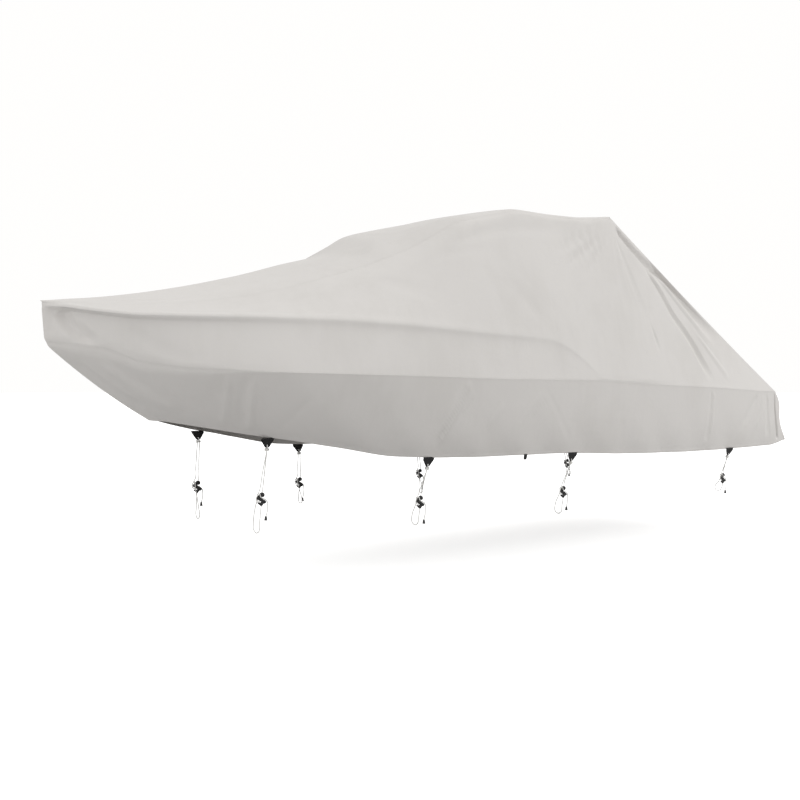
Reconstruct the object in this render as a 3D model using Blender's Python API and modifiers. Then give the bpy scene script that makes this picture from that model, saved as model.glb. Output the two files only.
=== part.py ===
"""Fitted cover for a hardtop trailer boat, with its tie-downs.

The cover is shown as it hangs over a boat that is left out.  Stations run aft from the nose,
half-breadths run out from the centre plane and heights are above the ground.  The model's own
origin is the mount under the roof: +X aft, -Y port, +Z up.  All sizes are metres.
"""
import math

import bpy
import bmesh
from mathutils import Vector

# ---- driving dimensions ----
MOUNT_STATION = 3.45        # the mount's distance aft of the nose
MOUNT_HEIGHT = 2.90         # the mount's height above the ground
CLOTH = 0.002               # cloth thickness
SEAM_GAP = 0.0025           # space between two panels along a seam that bends little
CORNER_GAP = 0.0036         # the same where they meet at a steep angle
CORD = 0.007                # cord diameter
CORD_STEP = 0.021           # greatest distance between the points of a cord's tube
CORD_TURN = math.radians(32)    # greatest turn from one of them to the next
CLEARANCE = 0.0006          # space between pieces that touch
PORT, STARBOARD = -1, 1

# ---- lines of the cover: station, half-breadth, height ----
RIDGE = (                   # centre plane, nose to the aft edge of the roof
    (0.00, 0, 2.040), (0.30, 0, 2.066), (0.63, 0, 2.111), (1.00, 0, 2.176), (1.41, 0, 2.273),
    (1.85, 0, 2.394), (2.19, 0, 2.487), (2.47, 0, 2.658), (2.71, 0, 2.724), (3.09, 0, 2.811),
    (3.45, 0, 2.900), (3.75, 0, 2.945), (4.25, 0, 2.960), (4.72, 0, 2.970))
EDGE = (                    # edge of the top panel, then of the roof
    (0.00, 0.030, 2.030), (0.20, 0.130, 2.032), (0.40, 0.250, 2.015), (0.75, 0.400, 2.030),
    (1.15, 0.500, 2.085), (1.50, 0.560, 2.165), (1.80, 0.600, 2.260), (2.05, 0.620, 2.345),
    (2.30, 0.660, 2.435), (2.60, 0.700, 2.550), (2.80, 0.720, 2.660), (3.03, 0.740, 2.780),
    (3.45, 0.750, 2.857), (3.64, 0.755, 2.899), (4.05, 0.770, 2.888), (4.45, 0.790, 2.896),
    (4.72, 0.800, 2.931))
RAIL = (                    # fold over the bow rail, down to the gunwale behind the cabin door
    (0.01, 0.045, 2.005), (0.10, 0.120, 1.995), (0.25, 0.320, 1.955), (0.50, 0.540, 1.910),
    (0.94, 0.780, 1.930), (1.48, 0.950, 1.914), (2.20, 1.060, 1.895), (3.00, 1.100, 1.856),
    (3.70, 1.110, 1.815), (3.92, 1.120, 1.736), (4.10, 1.135, 1.617), (4.22, 1.150, 1.530),
    (4.75, 1.154, 1.492))
GUNWALE = (                 # seam between side panel and skirt
    (0.05, 0.004, 1.757), (0.28, 0.280, 1.708), (0.50, 0.460, 1.613), (0.75, 0.680, 1.578),
    (0.98, 0.820, 1.569), (1.40, 1.000, 1.559), (2.15, 1.120, 1.540), (3.30, 1.150, 1.508),
    (4.12, 1.150, 1.496), (4.75, 1.150, 1.462), (5.77, 1.150, 1.420), (6.50, 1.145, 1.380),
    (6.74, 1.140, 1.372))
HEM = (                     # lower edge of the skirt
    (0.78, 0.004, 1.222), (1.04, 0.270, 1.167), (1.33, 0.490, 1.110), (1.56, 0.620, 1.082),
    (1.83, 0.740, 1.039), (2.34, 0.880, 0.948), (2.89, 0.960, 0.927), (3.93, 1.030, 0.911),
    (4.69, 1.060, 0.877), (5.73, 1.080, 0.854), (6.69, 1.100, 0.862), (6.94, 1.090, 0.900))

CORNER = EDGE[-1]           # aft corner of the roof
STERN = GUNWALE[-1]         # stern corner of the gunwale
STERN_CENTRE = (6.80, 0.0, 1.400)
STERN_HEM_CENTRE = (6.97, 0.0, 0.880)
HIP_SAG = 0.016             # sag of the cloth from the roof's corner to the stern
HIP_START = 0.045           # distance from the roof's corner at which its folds begin
STEM_BULGE = 0.037          # bulge of the stem below its straight chord
SHOULDER = 0.020            # fullness of the cloth between roof edge and rail
TENT_POWER = 1.3            # roundness of the top across the foredeck: nearly a sharp ridge
ROOF_POWER = 2.0            # the same across the roof: a low round crown
TENT_END, ROOF_START = 2.5, 3.0     # stations between which one becomes the other
BOW_CROWDING = 1.3          # how much closer the sections lie towards the bow

# Folds that fan from the roof's aft corner: foot on the gunwale (station), depth, width there
AFT_FOLDS = (
    (5.05, 0.006, 0.30), (5.77, 0.016, 0.26), (6.12, 0.020, 0.20), (6.48, 0.026, 0.16))

# Ties, bow to stern: tab's station, then the ratchet head's station, half-breadth and height,
# height of the loop's lowest point and length of the free tail
TIES = (
    (1.42, 1.400, 0.500, 0.694, 0.420, 0.092),
    (2.58, 2.558, 0.850, 0.620, 0.416, 0.103),
    (4.01, 3.990, 0.950, 0.604, 0.394, 0.092),
    (6.08, 6.100, 1.000, 0.588, 0.440, 0.082))
SMALL_TAB_STATION = 3.50
RAIL_WIDTH = 0.060          # width of the trailer's rail that each running cord goes round
TAB_TOP, TAB_TIP, TAB_DROP, TAB_THICKNESS = 0.104, 0.028, 0.056, 0.0025
SMALL_TAB_TOP, SMALL_TAB_TIP, SMALL_TAB_DROP = 0.034, 0.022, 0.024
SLOT_HALF, SLOT_ABOVE_TIP = 0.0065, 0.017
RATCHET_THICKNESS, RATCHET_HEAD = 0.016, 0.018
STOPPER_FOOT, STOPPER_TOP, STOPPER_LENGTH = 0.0115, 0.0075, 0.028

COLOURS = {                 # base colour, roughness, metallic
    "cover_cloth": ((0.66, 0.64, 0.62), 0.85, 0.0),
    "black_webbing": ((0.012, 0.012, 0.013), 0.80, 0.0),
    "black_plastic": ((0.010, 0.010, 0.011), 0.45, 0.0),
    "white_cord": ((0.80, 0.80, 0.78), 0.75, 0.0)}


def material(name):
    made = bpy.data.materials.get(name) or bpy.data.materials.new(name)
    colour, roughness, metallic = COLOURS[name]
    made.use_nodes = True
    shader = made.node_tree.nodes["Principled BSDF"]
    shader.inputs["Base Color"].default_value = (*colour, 1.0)
    shader.inputs["Roughness"].default_value = roughness
    shader.inputs["Metallic"].default_value = metallic
    made.diffuse_color = (*colour, 1.0)
    return made


def place(point, side=PORT):
    """Station, half-breadth and height as a point of the model."""
    station, breadth, height = point
    return Vector((station - MOUNT_STATION, side * breadth, height - MOUNT_HEIGHT))


def blend(first, second, share):
    return tuple(a + (b - a) * share for a, b in zip(first, second))


def on_line(line, station):
    """Point of a line at a station: a smooth curve through its rows that never overshoots."""
    station = min(max(station, line[0][0]), line[-1][0])
    last = len(line) - 2
    row = next((i for i in range(last) if station <= line[i + 1][0]), last)
    start, end = line[row], line[row + 1]
    span = end[0] - start[0]
    share = (station - start[0]) / span
    point = [station]
    for axis in (1, 2):
        slopes = [(b[axis] - a[axis]) / (b[0] - a[0]) for a, b in zip(line, line[1:])]
        ends = []
        for joint in (row, row + 1):
            before = slopes[max(joint - 1, 0)]
            after = slopes[min(joint, len(slopes) - 1)]
            level = before * after <= 0
            ends.append(0.0 if level else 2 * before * after / (before + after))
        square, cube = share ** 2, share ** 3
        point.append(start[axis] * (2 * cube - 3 * square + 1) + end[axis] * (3 * square - 2 * cube)
                     + span * (ends[0] * (cube - 2 * square + share) + ends[1] * (cube - square)))
    return tuple(point)


def hip(share):
    """Point of the hip, from the roof's aft corner (0) to the stern corner (1)."""
    station, breadth, height = blend(CORNER, STERN, share)
    return station, breadth, height - HIP_SAG * 4 * share * (1 - share)


def bump(distance, width):
    """Soft trough: 1 in the middle, 0 past half its width."""
    reach = min(abs(distance) / (width / 2), 1.0)
    return (1 - reach ** 2) ** 2


# ---- cloth panels ----
def sheet(name, rows, slot, collection, flip=False):
    """A panel of cloth through rows of points, thickened inwards."""
    mesh = bpy.data.meshes.new(name)
    shape = bmesh.new()
    grid = [[shape.verts.new(point) for point in row] for row in rows]
    for near, far in zip(grid, grid[1:]):
        for corners in zip(near, far, far[1:], near[1:]):
            shape.faces.new(reversed(corners) if flip else corners)
    shape.to_mesh(mesh)
    shape.free()
    mesh.shade_smooth()
    mesh.materials.append(material(slot))
    panel = bpy.data.objects.new(name, mesh)
    collection.objects.link(panel)
    thicken = panel.modifiers.new("cloth", "SOLIDIFY")
    thicken.thickness = CLOTH
    thicken.offset = -1.0
    thicken.use_even_offset = False
    return panel


def inset(point, towards, gap):
    """The point moved by gap towards another."""
    step = (Vector(towards) - Vector(point)).normalized() * gap
    return tuple(Vector(point) + step)


def top_rows():
    """Centre panel: foredeck, roof and the slope down to the stern, edge to edge."""
    halves = []
    for step in range(27):
        station = CORNER[0] * (step / 26) ** BOW_CROWDING
        halves.append((on_line(RIDGE, station), on_line(EDGE, station)))
    for step in range(1, 9):
        share = step / 8
        middle = blend(RIDGE[-1], STERN_CENTRE, share)
        middle = (middle[0], 0.0, middle[2] - HIP_SAG * 4 * share * (1 - share))
        halves.append((middle, hip(share)))
    rows = []
    for middle, outer in halves:
        onto_roof = min(max((middle[0] - TENT_END) / (ROOF_START - TENT_END), 0.0), 1.0)
        power = TENT_POWER + (ROOF_POWER - TENT_POWER) * onto_roof
        outer = inset(outer, middle, CORNER_GAP)
        row = []
        for step in range(-5, 6):
            across = abs(step) / 5
            side = STARBOARD if step > 0 else PORT
            height = middle[2] + (outer[2] - middle[2]) * across ** power
            station = middle[0] + (outer[0] - middle[0]) * across ** power
            row.append(place((station, outer[1] * across, height), side))
        rows.append(row)
    return rows


def gunwale_stations():
    """Steps that grow from the bow to the roof's aft corner, then even steps to the stern."""
    middle, start, end = RAIL[-1][0], GUNWALE[0][0], STERN[0]
    forward = [start + (middle - start) * (step / 26) ** BOW_CROWDING for step in range(27)]
    return forward + [middle + (end - middle) * step / 14 for step in range(1, 15)]


def side_spokes():
    """Points on edge, rail and gunwale; past the roof's corner they fan out from it."""
    spokes = []
    middle, start, end = RAIL[-1][0], GUNWALE[0][0], STERN[0]
    strip = RAIL[-1][2] - on_line(GUNWALE, middle)[2]
    for foot in gunwale_stations():
        low = on_line(GUNWALE, foot)
        if foot <= middle:
            share = (foot - start) / (middle - start)
            top = on_line(EDGE, CORNER[0] * share)
            above = on_line(RAIL, RAIL[0][0] + (middle - RAIL[0][0]) * share)
        else:
            top = hip(HIP_START * (foot - middle) / (end - middle))
            above = blend(low, top, strip / (top[2] - low[2]))
        spokes.append((top, above, low))
    return spokes


def side_point(spoke, share, lower):
    """Point between edge and rail, or between rail and gunwale, with the cloth's folds."""
    edge, rail, gunwale = spoke
    foot = gunwale[0]
    if lower:
        return blend(rail, gunwale, share)
    point = blend(edge, rail, share)
    full = math.sin(math.pi * share)
    if foot <= RAIL[-1][0]:
        cabin = min(max((foot - 1.6) / 0.6, 0.0), 1.0)
        return point[0], point[1] + SHOULDER * cabin * full, point[2]
    turn = (foot - RAIL[-1][0]) / (STERN[0] - RAIL[-1][0])
    dent = sum(depth * bump(foot - at, width) for at, depth, width in AFT_FOLDS)
    swell = SHOULDER * (1 - turn) * full
    sag = HIP_SAG * 4 * share * (1 - share) * turn
    depth = dent * full ** 0.7
    return point[0], point[1] + swell - depth, point[2] - sag


def side_rows(side):
    rows = []
    for spoke in side_spokes():
        row = [side_point(spoke, step / 7, False) for step in range(7)]
        row += [side_point(spoke, step / 2, True) for step in range(3)]
        rows.append([place(point, side) for point in row])
    return rows


def skirt_rows(side):
    """Skirt from gunwale to hem, drawn in a little between the ties."""
    rows = []
    for station in gunwale_stations():
        share = (station - GUNWALE[0][0]) / (STERN[0] - GUNWALE[0][0])
        high = on_line(GUNWALE, station)
        low = on_line(HEM, HEM[0][0] + (HEM[-1][0] - HEM[0][0]) * share)
        high = inset(high, low, SEAM_GAP)
        stem = STEM_BULGE * max(1 - share / 0.08, 0.0)
        ripple = 0.006 * math.sin(2 * math.pi * (low[0] / 0.47 + 0.2 * side)) * min(share / 0.1, 1)
        row = []
        for level in range(5):
            down = level / 4
            station, breadth, height = blend(high, low, down)
            height -= stem * 4 * down * (1 - down)
            row.append(place((station, breadth + ripple * down ** 2, height), side))
        rows.append(row)
    return rows


def stern_rows():
    """Drop over the transom, between the two skirts."""
    rows = []
    for step in range(-10, 11):
        across = step / 10
        side = STARBOARD if step > 0 else PORT
        top = blend(STERN_CENTRE, STERN, across ** 2)
        low = blend(STERN_HEM_CENTRE, HEM[-1], across ** 2)
        top = (top[0], abs(across) * (STERN[1] - CORNER_GAP), top[2] - CORNER_GAP)
        low = (low[0], abs(across) * (HEM[-1][1] - CORNER_GAP), low[2])
        rows.append([place(blend(top, low, level / 4), side) for level in range(5)])
    return rows


# ---- ties ----
def flat_piece(name, outlines, thickness, slot, collection):
    """A plate from closed outlines in its own X-Y plane; a second outline is a hole."""
    outline = bpy.data.curves.new(name, "CURVE")
    outline.dimensions = "2D"
    outline.fill_mode = "BOTH"
    outline.extrude = thickness / 2
    for points in outlines:
        spline = outline.splines.new("POLY")
        spline.points.add(len(points) - 1)
        for node, (across, up) in zip(spline.points, points):
            node.co = (across, up, 0.0, 1.0)
        spline.use_cyclic_u = True
    outline.materials.append(material(slot))
    plate = bpy.data.objects.new(name, outline)
    collection.objects.link(plate)
    return plate


def tab_outline(top, tip, drop):
    """A trapezium with its tip cut straight and the tip's corners eased."""
    ease = tip * 0.25
    return [(-top / 2, 0.0), (-tip / 2 - ease * 0.6, -drop + ease), (-tip / 2 + ease, -drop),
            (tip / 2 - ease, -drop), (tip / 2 + ease * 0.6, -drop + ease), (top / 2, 0.0)]


def round_outline(centre, radius, count):
    return [(centre[0] + radius * math.cos(2 * math.pi * i / count),
             centre[1] + radius * math.sin(2 * math.pi * i / count)) for i in range(count)]


def ratchet_outline():
    """An S: round head, bar slanting down to the far side and a hook turned back under it."""
    head = [(RATCHET_HEAD * math.cos(math.radians(turn)), RATCHET_HEAD * math.sin(math.radians(turn)))
            for turn in range(-50, 181, 33)]
    bar_outside = [(-0.030, -0.005), (-0.041, -0.013), (-0.043, -0.023), (-0.036, -0.031),
                   (-0.020, -0.040), (-0.004, -0.050)]
    hook = [(-0.014, -0.055), (-0.030, -0.050), (-0.036, -0.056), (-0.022, -0.068),
            (-0.012, -0.077), (-0.002, -0.077), (0.008, -0.064)]
    bar_inside = [(0.022, -0.062), (0.031, -0.054), (0.027, -0.043), (0.008, -0.031),
                  (-0.010, -0.021), (-0.008, -0.0165)]
    return head + bar_outside + hook + bar_inside


def smooth_route(points):
    """Points along a smooth curve through the route, closer together where it turns."""
    points = [Vector(p) for p in points]
    spans = [(end - start).length for start, end in zip(points, points[1:])]
    slopes = [(end - start) / span for start, end, span in zip(points, points[1:], spans)]
    tangents = [slopes[0]]
    for index in range(1, len(slopes)):
        near, far = spans[index - 1], spans[index]
        tangents.append((slopes[index - 1] * far + slopes[index] * near) / (near + far))
    tangents.append(slopes[-1])
    fine = []
    for index, span in enumerate(spans):
        for part in range(12):
            t = part / 12
            fine.append(points[index] * (2 * t ** 3 - 3 * t ** 2 + 1)
                        + points[index + 1] * (3 * t ** 2 - 2 * t ** 3)
                        + tangents[index] * span * (t ** 3 - 2 * t ** 2 + t)
                        + tangents[index + 1] * span * (t ** 3 - t ** 2))
    fine.append(points[-1])
    kept, travelled, turned = [fine[0]], 0.0, 0.0
    for before, point, after in zip(fine, fine[1:], fine[2:]):
        travelled += (point - before).length
        turned += (point - before).angle(after - point, 0.0)
        if travelled >= CORD_STEP or turned >= CORD_TURN:
            kept.append(point)
            travelled, turned = 0.0, 0.0
    if (fine[-1] - kept[-1]).length < CORD and len(kept) > 2:
        kept.pop()
    return kept + [fine[-1]]


def cord(name, route, collection):
    """A round cord as a tube along its route."""
    line = bpy.data.curves.new(name, "CURVE")
    line.dimensions = "3D"
    line.bevel_depth = CORD / 2
    line.bevel_resolution = 2
    line.use_fill_caps = True
    points = smooth_route(route)
    spline = line.splines.new("POLY")
    spline.points.add(len(points) - 1)
    for node, point in zip(spline.points, points):
        node.co = (*point, 1.0)
    line.materials.append(material("white_cord"))
    tube = bpy.data.objects.new(name, line)
    collection.objects.link(tube)
    return tube


def hang(plate, point, side, lean=0.0):
    """Stand a plate upright, facing outboard, leaning in with the skirt."""
    plate.location = place(point, side)
    plate.rotation_euler = (math.pi / 2 - side * lean, 0.0, 0.0)


def skirt_lean(station):
    """Angle of the skirt from upright at the hem."""
    low = on_line(HEM, station)
    high = on_line(GUNWALE, min(station, STERN[0]))
    return math.atan2(high[1] - low[1], high[2] - low[2])


def tie(index, row, side, collection):
    """Tab, hanging cord, ratchet, running cord and the stopper on its free end."""
    tab_at, head_at, head_out, head_up, turn_up, tail = row
    tag = ("port_" if side == PORT else "starboard_") + str(index)
    low = on_line(HEM, tab_at)
    top = (low[0], low[1] - 0.004, low[2] - 0.010)
    head = (head_at, head_out, head_up)
    crown = (head_at, head_out, head_up + 0.026)
    lean = math.atan2(top[1] - crown[1], top[2] - crown[2])
    tab = flat_piece("tab_" + tag,
                     [tab_outline(TAB_TOP, TAB_TIP, TAB_DROP),
                      round_outline((0.0, SLOT_ABOVE_TIP - TAB_DROP), SLOT_HALF, 10)],
                     TAB_THICKNESS, "black_webbing", collection)
    hang(tab, top, side, lean)

    def beside_tab(across, down, out):
        """Point by the tab: along its width, down from its slot and out from its face."""
        drop = TAB_DROP - SLOT_ABOVE_TIP + down
        return (top[0] + across,
                top[1] - drop * math.sin(lean) + out * math.cos(lean),
                top[2] - drop * math.cos(lean) - out * math.sin(lean))

    out = CORD / 2 + TAB_THICKNESS / 2 + 0.0015

    def near_head(across, outboard, up):
        return head_at + across, head_out + outboard, head_up + up

    front = RATCHET_THICKNESS / 2 + CORD / 2 + CLEARANCE
    left, right = near_head(-0.024, 0.003, 0.030), near_head(0.005, -0.001, 0.030)
    hanging = [
        near_head(-0.016, 0.000, -0.0485),      # tucked under the ratchet's bar
        near_head(-0.024, 0.000, -0.0455),
        near_head(-0.036, 0.000, -0.0405),
        near_head(-0.0460, 0.001, -0.0340),
        near_head(-0.0495, 0.004, -0.0190),
        near_head(-0.0420, 0.006, -0.0020),
        near_head(-0.0330, 0.005, 0.0130),
        left,
        blend(left, beside_tab(-0.005, 0.03, out), 0.35),
        blend(left, beside_tab(-0.005, 0.03, out), 0.70),
        beside_tab(-0.004, 0.030, out + 0.001),
        beside_tab(-0.002, 0.012, out),
        beside_tab(-0.001, 0.003, out * 0.75),
        beside_tab(0.0, -0.001, 0.0),           # through the tab's slot
        beside_tab(0.001, 0.003, -out * 0.75),
        beside_tab(0.002, 0.012, -out),
        beside_tab(0.004, 0.030, -out - 0.001),
        blend(right, beside_tab(0.005, 0.03, -out), 0.70),
        blend(right, beside_tab(0.005, 0.03, -out), 0.35),
        right,
        near_head(0.0035, 0.0, RATCHET_HEAD + CLEARANCE * 3)]
    cord("hanging_cord_" + tag, [place(p, side) for p in hanging], collection)

    ratchet = flat_piece("ratchet_" + tag, [ratchet_outline()], RATCHET_THICKNESS,
                         "black_plastic", collection)
    hang(ratchet, head, side)

    turn = turn_up - head_up
    running = [
        near_head(-0.007, 0.000, -0.077 - CLEARANCE * 2),       # hangs from the hook
        near_head(-0.010, 0.000, -0.100),
        near_head(-0.016, -0.004, turn / 2 - 0.04),
        near_head(-0.020, -0.012, turn + 0.014),
        near_head(-0.022, -0.012 - RAIL_WIDTH / 2, turn),       # under the trailer's rail
        near_head(-0.024, -0.012 - RAIL_WIDTH, turn + 0.016),
        near_head(-0.030, -0.006 - RAIL_WIDTH, turn / 2 - 0.03),
        near_head(-0.031, -front - 0.016, -0.060),
        near_head(-0.030, -front - 0.001, -0.028),
        near_head(-0.0305, -front - 0.0012, -0.0080),
        near_head(-0.0305, -front - 0.0008, 0.0045),
        near_head(-0.0285, -0.0050, 0.0085),                    # over the bar's root
        near_head(-0.0275, 0.0050, 0.0090),
        near_head(-0.0255, front + 0.0012, 0.0060),
        near_head(-0.0210, front + 0.0015, -0.0080),
        near_head(-0.0100, front + 0.0010, -0.0185),
        near_head(0.0080, front + 0.0006, -0.0265),
        near_head(0.0265, front, -0.0370),
        near_head(0.0400, 0.006, -0.0530),
        near_head(0.0420, 0.003, -0.0740),
        near_head(0.0400, 0.003, -0.066 - tail * 0.6),
        near_head(0.0300, 0.002, -0.062 - tail)]
    cord("running_cord_" + tag, [place(p, side) for p in running], collection)

    bpy.ops.mesh.primitive_cone_add(
        vertices=12, radius1=STOPPER_FOOT, radius2=STOPPER_TOP, depth=STOPPER_LENGTH)
    stopper = bpy.context.object
    stopper.name = stopper.data.name = "stopper_" + tag
    end = place(running[-1], side)
    stopper.location = end - Vector((0.001, 0.0, STOPPER_LENGTH / 2 + CLEARANCE * 3))
    stopper.data.materials.append(material("black_plastic"))
    for holder in stopper.users_collection:
        holder.objects.unlink(stopper)
    collection.objects.link(stopper)


def small_tab(side, collection):
    low = on_line(HEM, SMALL_TAB_STATION)
    name = "small_tab_" + ("port" if side == PORT else "starboard")
    tab = flat_piece(name, [tab_outline(SMALL_TAB_TOP, SMALL_TAB_TIP, SMALL_TAB_DROP)],
                     TAB_THICKNESS, "black_webbing", collection)
    hang(tab, (low[0], low[1] - 0.004, low[2] - 0.010), side, skirt_lean(SMALL_TAB_STATION))


def main():
    for old in list(bpy.data.objects):
        bpy.data.objects.remove(old, do_unlink=True)
    collection = bpy.data.collections.new("boat_cover")
    bpy.context.scene.collection.children.link(collection)
    sheet("top_panel", top_rows(), "cover_cloth", collection)
    for side, word in ((PORT, "port"), (STARBOARD, "starboard")):
        flip = side == STARBOARD
        sheet("side_panel_" + word, side_rows(side), "cover_cloth", collection, flip)
        sheet("skirt_" + word, skirt_rows(side), "cover_cloth", collection, flip)
        for index, row in enumerate(TIES, start=1):
            tie(index, row, side, collection)
        small_tab(side, collection)
    sheet("stern_skirt", stern_rows(), "cover_cloth", collection)


main()
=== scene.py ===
import math

import bmesh
import bpy
import numpy as np
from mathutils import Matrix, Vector, noise


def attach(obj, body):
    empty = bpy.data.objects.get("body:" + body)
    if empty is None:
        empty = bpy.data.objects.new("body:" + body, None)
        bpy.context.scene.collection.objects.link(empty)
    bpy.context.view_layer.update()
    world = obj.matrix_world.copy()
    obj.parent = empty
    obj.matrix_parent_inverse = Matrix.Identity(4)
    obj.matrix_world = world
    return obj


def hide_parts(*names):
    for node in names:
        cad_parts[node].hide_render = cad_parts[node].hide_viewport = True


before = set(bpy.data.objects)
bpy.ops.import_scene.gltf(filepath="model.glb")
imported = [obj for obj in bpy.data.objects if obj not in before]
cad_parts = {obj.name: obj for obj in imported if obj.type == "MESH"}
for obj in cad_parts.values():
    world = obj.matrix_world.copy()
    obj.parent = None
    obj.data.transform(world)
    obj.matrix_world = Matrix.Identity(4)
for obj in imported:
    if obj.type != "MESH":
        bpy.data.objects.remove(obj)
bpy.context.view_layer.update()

root = "root"
port, starboard = -1, 1
sideWord = {port: "port", starboard: "starboard"}

# the frame's origin is the mount under the roof; stations run aft from the nose,
# half-breadths out from the middle and heights up from the ground
origin = {"station": 3.45, "height": 2.90}


def place(point, side=port):
    station, breadth, height = point
    return Vector((station - origin["station"], side * breadth, height - origin["height"]))


def blend(first, second, share):
    return tuple(a + (b - a) * share for a, b in zip(first, second))


def smoothStep(value):
    value = np.clip(value, 0.0, 1.0)
    return value * value * (3 - 2 * value)


# camera
camera = {"location": (-5.750, -6.927, -1.330), "turn": -37.5, "lens": 46.7, "shift": -0.036}


def makeCamera():
    data = bpy.data.cameras.new("viewCamera")
    data.sensor_width = 36.0
    data.lens = camera["lens"]
    data.shift_y = camera["shift"]
    made = bpy.data.objects.new("viewCamera", data)
    made.location = camera["location"]
    made.rotation_euler = (math.radians(90), 0.0, math.radians(camera["turn"]))
    bpy.context.collection.objects.link(made)
    bpy.context.scene.camera = made


makeCamera()
print("camera set")


# lines of the cover: station, half-breadth, height
lines = {
    "ridge": (          # middle of the top, nose to the aft edge of the roof
        (0.00, 0, 2.040), (0.30, 0, 2.066), (0.63, 0, 2.111), (1.00, 0, 2.176),
        (1.41, 0, 2.273), (1.85, 0, 2.394), (2.19, 0, 2.487), (2.47, 0, 2.658),
        (2.71, 0, 2.724), (3.09, 0, 2.811), (3.45, 0, 2.900), (3.75, 0, 2.945),
        (4.25, 0, 2.960), (4.72, 0, 2.970)),
    "edge": (           # seam between top and side, then edge of the roof
        (0.00, 0.030, 2.030), (0.20, 0.130, 2.032), (0.40, 0.250, 2.015), (0.75, 0.400, 2.030),
        (1.15, 0.500, 2.085), (1.50, 0.560, 2.165), (1.80, 0.600, 2.260), (2.05, 0.620, 2.345),
        (2.30, 0.660, 2.435), (2.60, 0.700, 2.550), (2.80, 0.720, 2.660), (3.03, 0.740, 2.780),
        (3.45, 0.750, 2.857), (3.64, 0.755, 2.899), (4.05, 0.770, 2.888), (4.45, 0.790, 2.896),
        (4.72, 0.800, 2.931)),
    "rail": (           # fold over the bow rail, then down to the gunwale
        (-0.01, 0.045, 2.005), (0.10, 0.120, 1.999), (0.25, 0.320, 1.968), (0.50, 0.540, 1.938),
        (0.94, 0.780, 1.934), (1.48, 0.950, 1.930), (2.20, 1.060, 1.903), (3.00, 1.100, 1.856),
        (3.70, 1.110, 1.815), (3.92, 1.120, 1.736), (4.10, 1.135, 1.617), (4.22, 1.150, 1.530),
        (4.75, 1.154, 1.492)),
    "gunwale": (        # seam between side panel and skirt
        (0.03, 0.001, 1.757), (0.28, 0.280, 1.708), (0.50, 0.460, 1.613), (0.75, 0.680, 1.578),
        (0.98, 0.820, 1.569), (1.40, 1.000, 1.559), (2.15, 1.120, 1.540), (3.30, 1.150, 1.508),
        (4.12, 1.150, 1.496), (4.75, 1.150, 1.462), (5.77, 1.150, 1.420), (6.50, 1.145, 1.380),
        (6.74, 1.140, 1.372)),
    "hem": (            # lower edge of the skirt
        (0.77, 0.001, 1.222), (1.04, 0.270, 1.167), (1.33, 0.490, 1.110), (1.56, 0.620, 1.073),
        (1.83, 0.740, 1.023), (2.34, 0.880, 0.936), (2.89, 0.960, 0.911), (3.93, 1.030, 0.897),
        (4.69, 1.060, 0.862), (5.73, 1.080, 0.841), (6.69, 1.100, 0.850), (6.94, 1.090, 0.893))}
roofCorner = lines["edge"][-1]
sternCorner = lines["gunwale"][-1]
sternTop = (6.80, 0.0, 1.400)       # middle of the transom's upper edge
sternHem = (6.97, 0.0, 0.880)


def easeBetween(start, end, startPull, endPull, share):     # cubic with a given slope at each end
    square, cube = share ** 2, share ** 3
    return (start * (2 * cube - 3 * square + 1) + end * (3 * square - 2 * cube)
            + startPull * (cube - 2 * square + share) + endPull * (cube - square))


def onLine(line, station):      # smooth curve through the rows that never overshoots
    station = min(max(station, line[0][0]), line[-1][0])
    last = len(line) - 2
    row = next((i for i in range(last) if station <= line[i + 1][0]), last)
    start, end = line[row], line[row + 1]
    span = end[0] - start[0]
    share = (station - start[0]) / span
    point = [station]
    for axis in (1, 2):
        slopes = [(b[axis] - a[axis]) / (b[0] - a[0]) for a, b in zip(line, line[1:])]
        ends = []
        for joint in (row, row + 1):
            before = slopes[max(joint - 1, 0)]
            after = slopes[min(joint, len(slopes) - 1)]
            level = before * after <= 0
            ends.append(0.0 if level else 2 * before * after / (before + after))
        point.append(easeBetween(start[axis], end[axis], span * ends[0], span * ends[1], share))
    return tuple(point)


def alongLine(name, share):     # the same, at a share of the line's stations
    line = lines[name]
    return onLine(line, line[0][0] + (line[-1][0] - line[0][0]) * share)


def onTable(rows, at, column):      # straight steps through a short table
    return float(np.interp(at, [row[0] for row in rows], [row[column] for row in rows]))


hipShape = {"sag": 0.016, "start": 0.045}


def hipSag(share):
    return hipShape["sag"] * 4 * share * (1 - share)


def onHip(share):       # from the roof's aft corner down to the stern corner
    station, breadth, height = blend(roofCorner, sternCorner, share)
    return station, breadth, height - hipSag(share)


# mesh helpers
def curveAt(before, first, second, after, t):       # point on a soft curve through four others
    return 0.5 * (2 * first + (second - before) * t
                  + (2 * before - 5 * first + 4 * second - after) * t * t
                  + (3 * first - before - 3 * second + after) * t ** 3)


def ringFaces(levels, sides):       # walls between rings of points, and a cap at both ends
    faces = []
    for level in range(levels - 1):
        for k in range(sides):
            a, b = level * sides + k, level * sides + (k + 1) % sides
            faces.append((a, b, b + sides, a + sides))
    return faces + [tuple(reversed(range(sides))), tuple(range((levels - 1) * sides, levels * sides))]


def addMesh(name, verts, faces, uvs=None, smooth=True):
    mesh = bpy.data.meshes.new(name)
    mesh.from_pydata([tuple(v) for v in verts], [], faces)
    mesh.validate()
    if uvs is not None:
        for layerName, coords in uvs.items():
            layer = mesh.uv_layers.new(name=layerName)
            which = np.empty(len(mesh.loops), dtype=np.int32)
            mesh.loops.foreach_get("vertex_index", which)
            layer.data.foreach_set("uv", np.asarray(coords, dtype=np.float32)[which].ravel())
    if smooth:
        mesh.shade_smooth()
    piece = bpy.data.objects.new(name, mesh)
    bpy.context.collection.objects.link(piece)
    return piece


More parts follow.
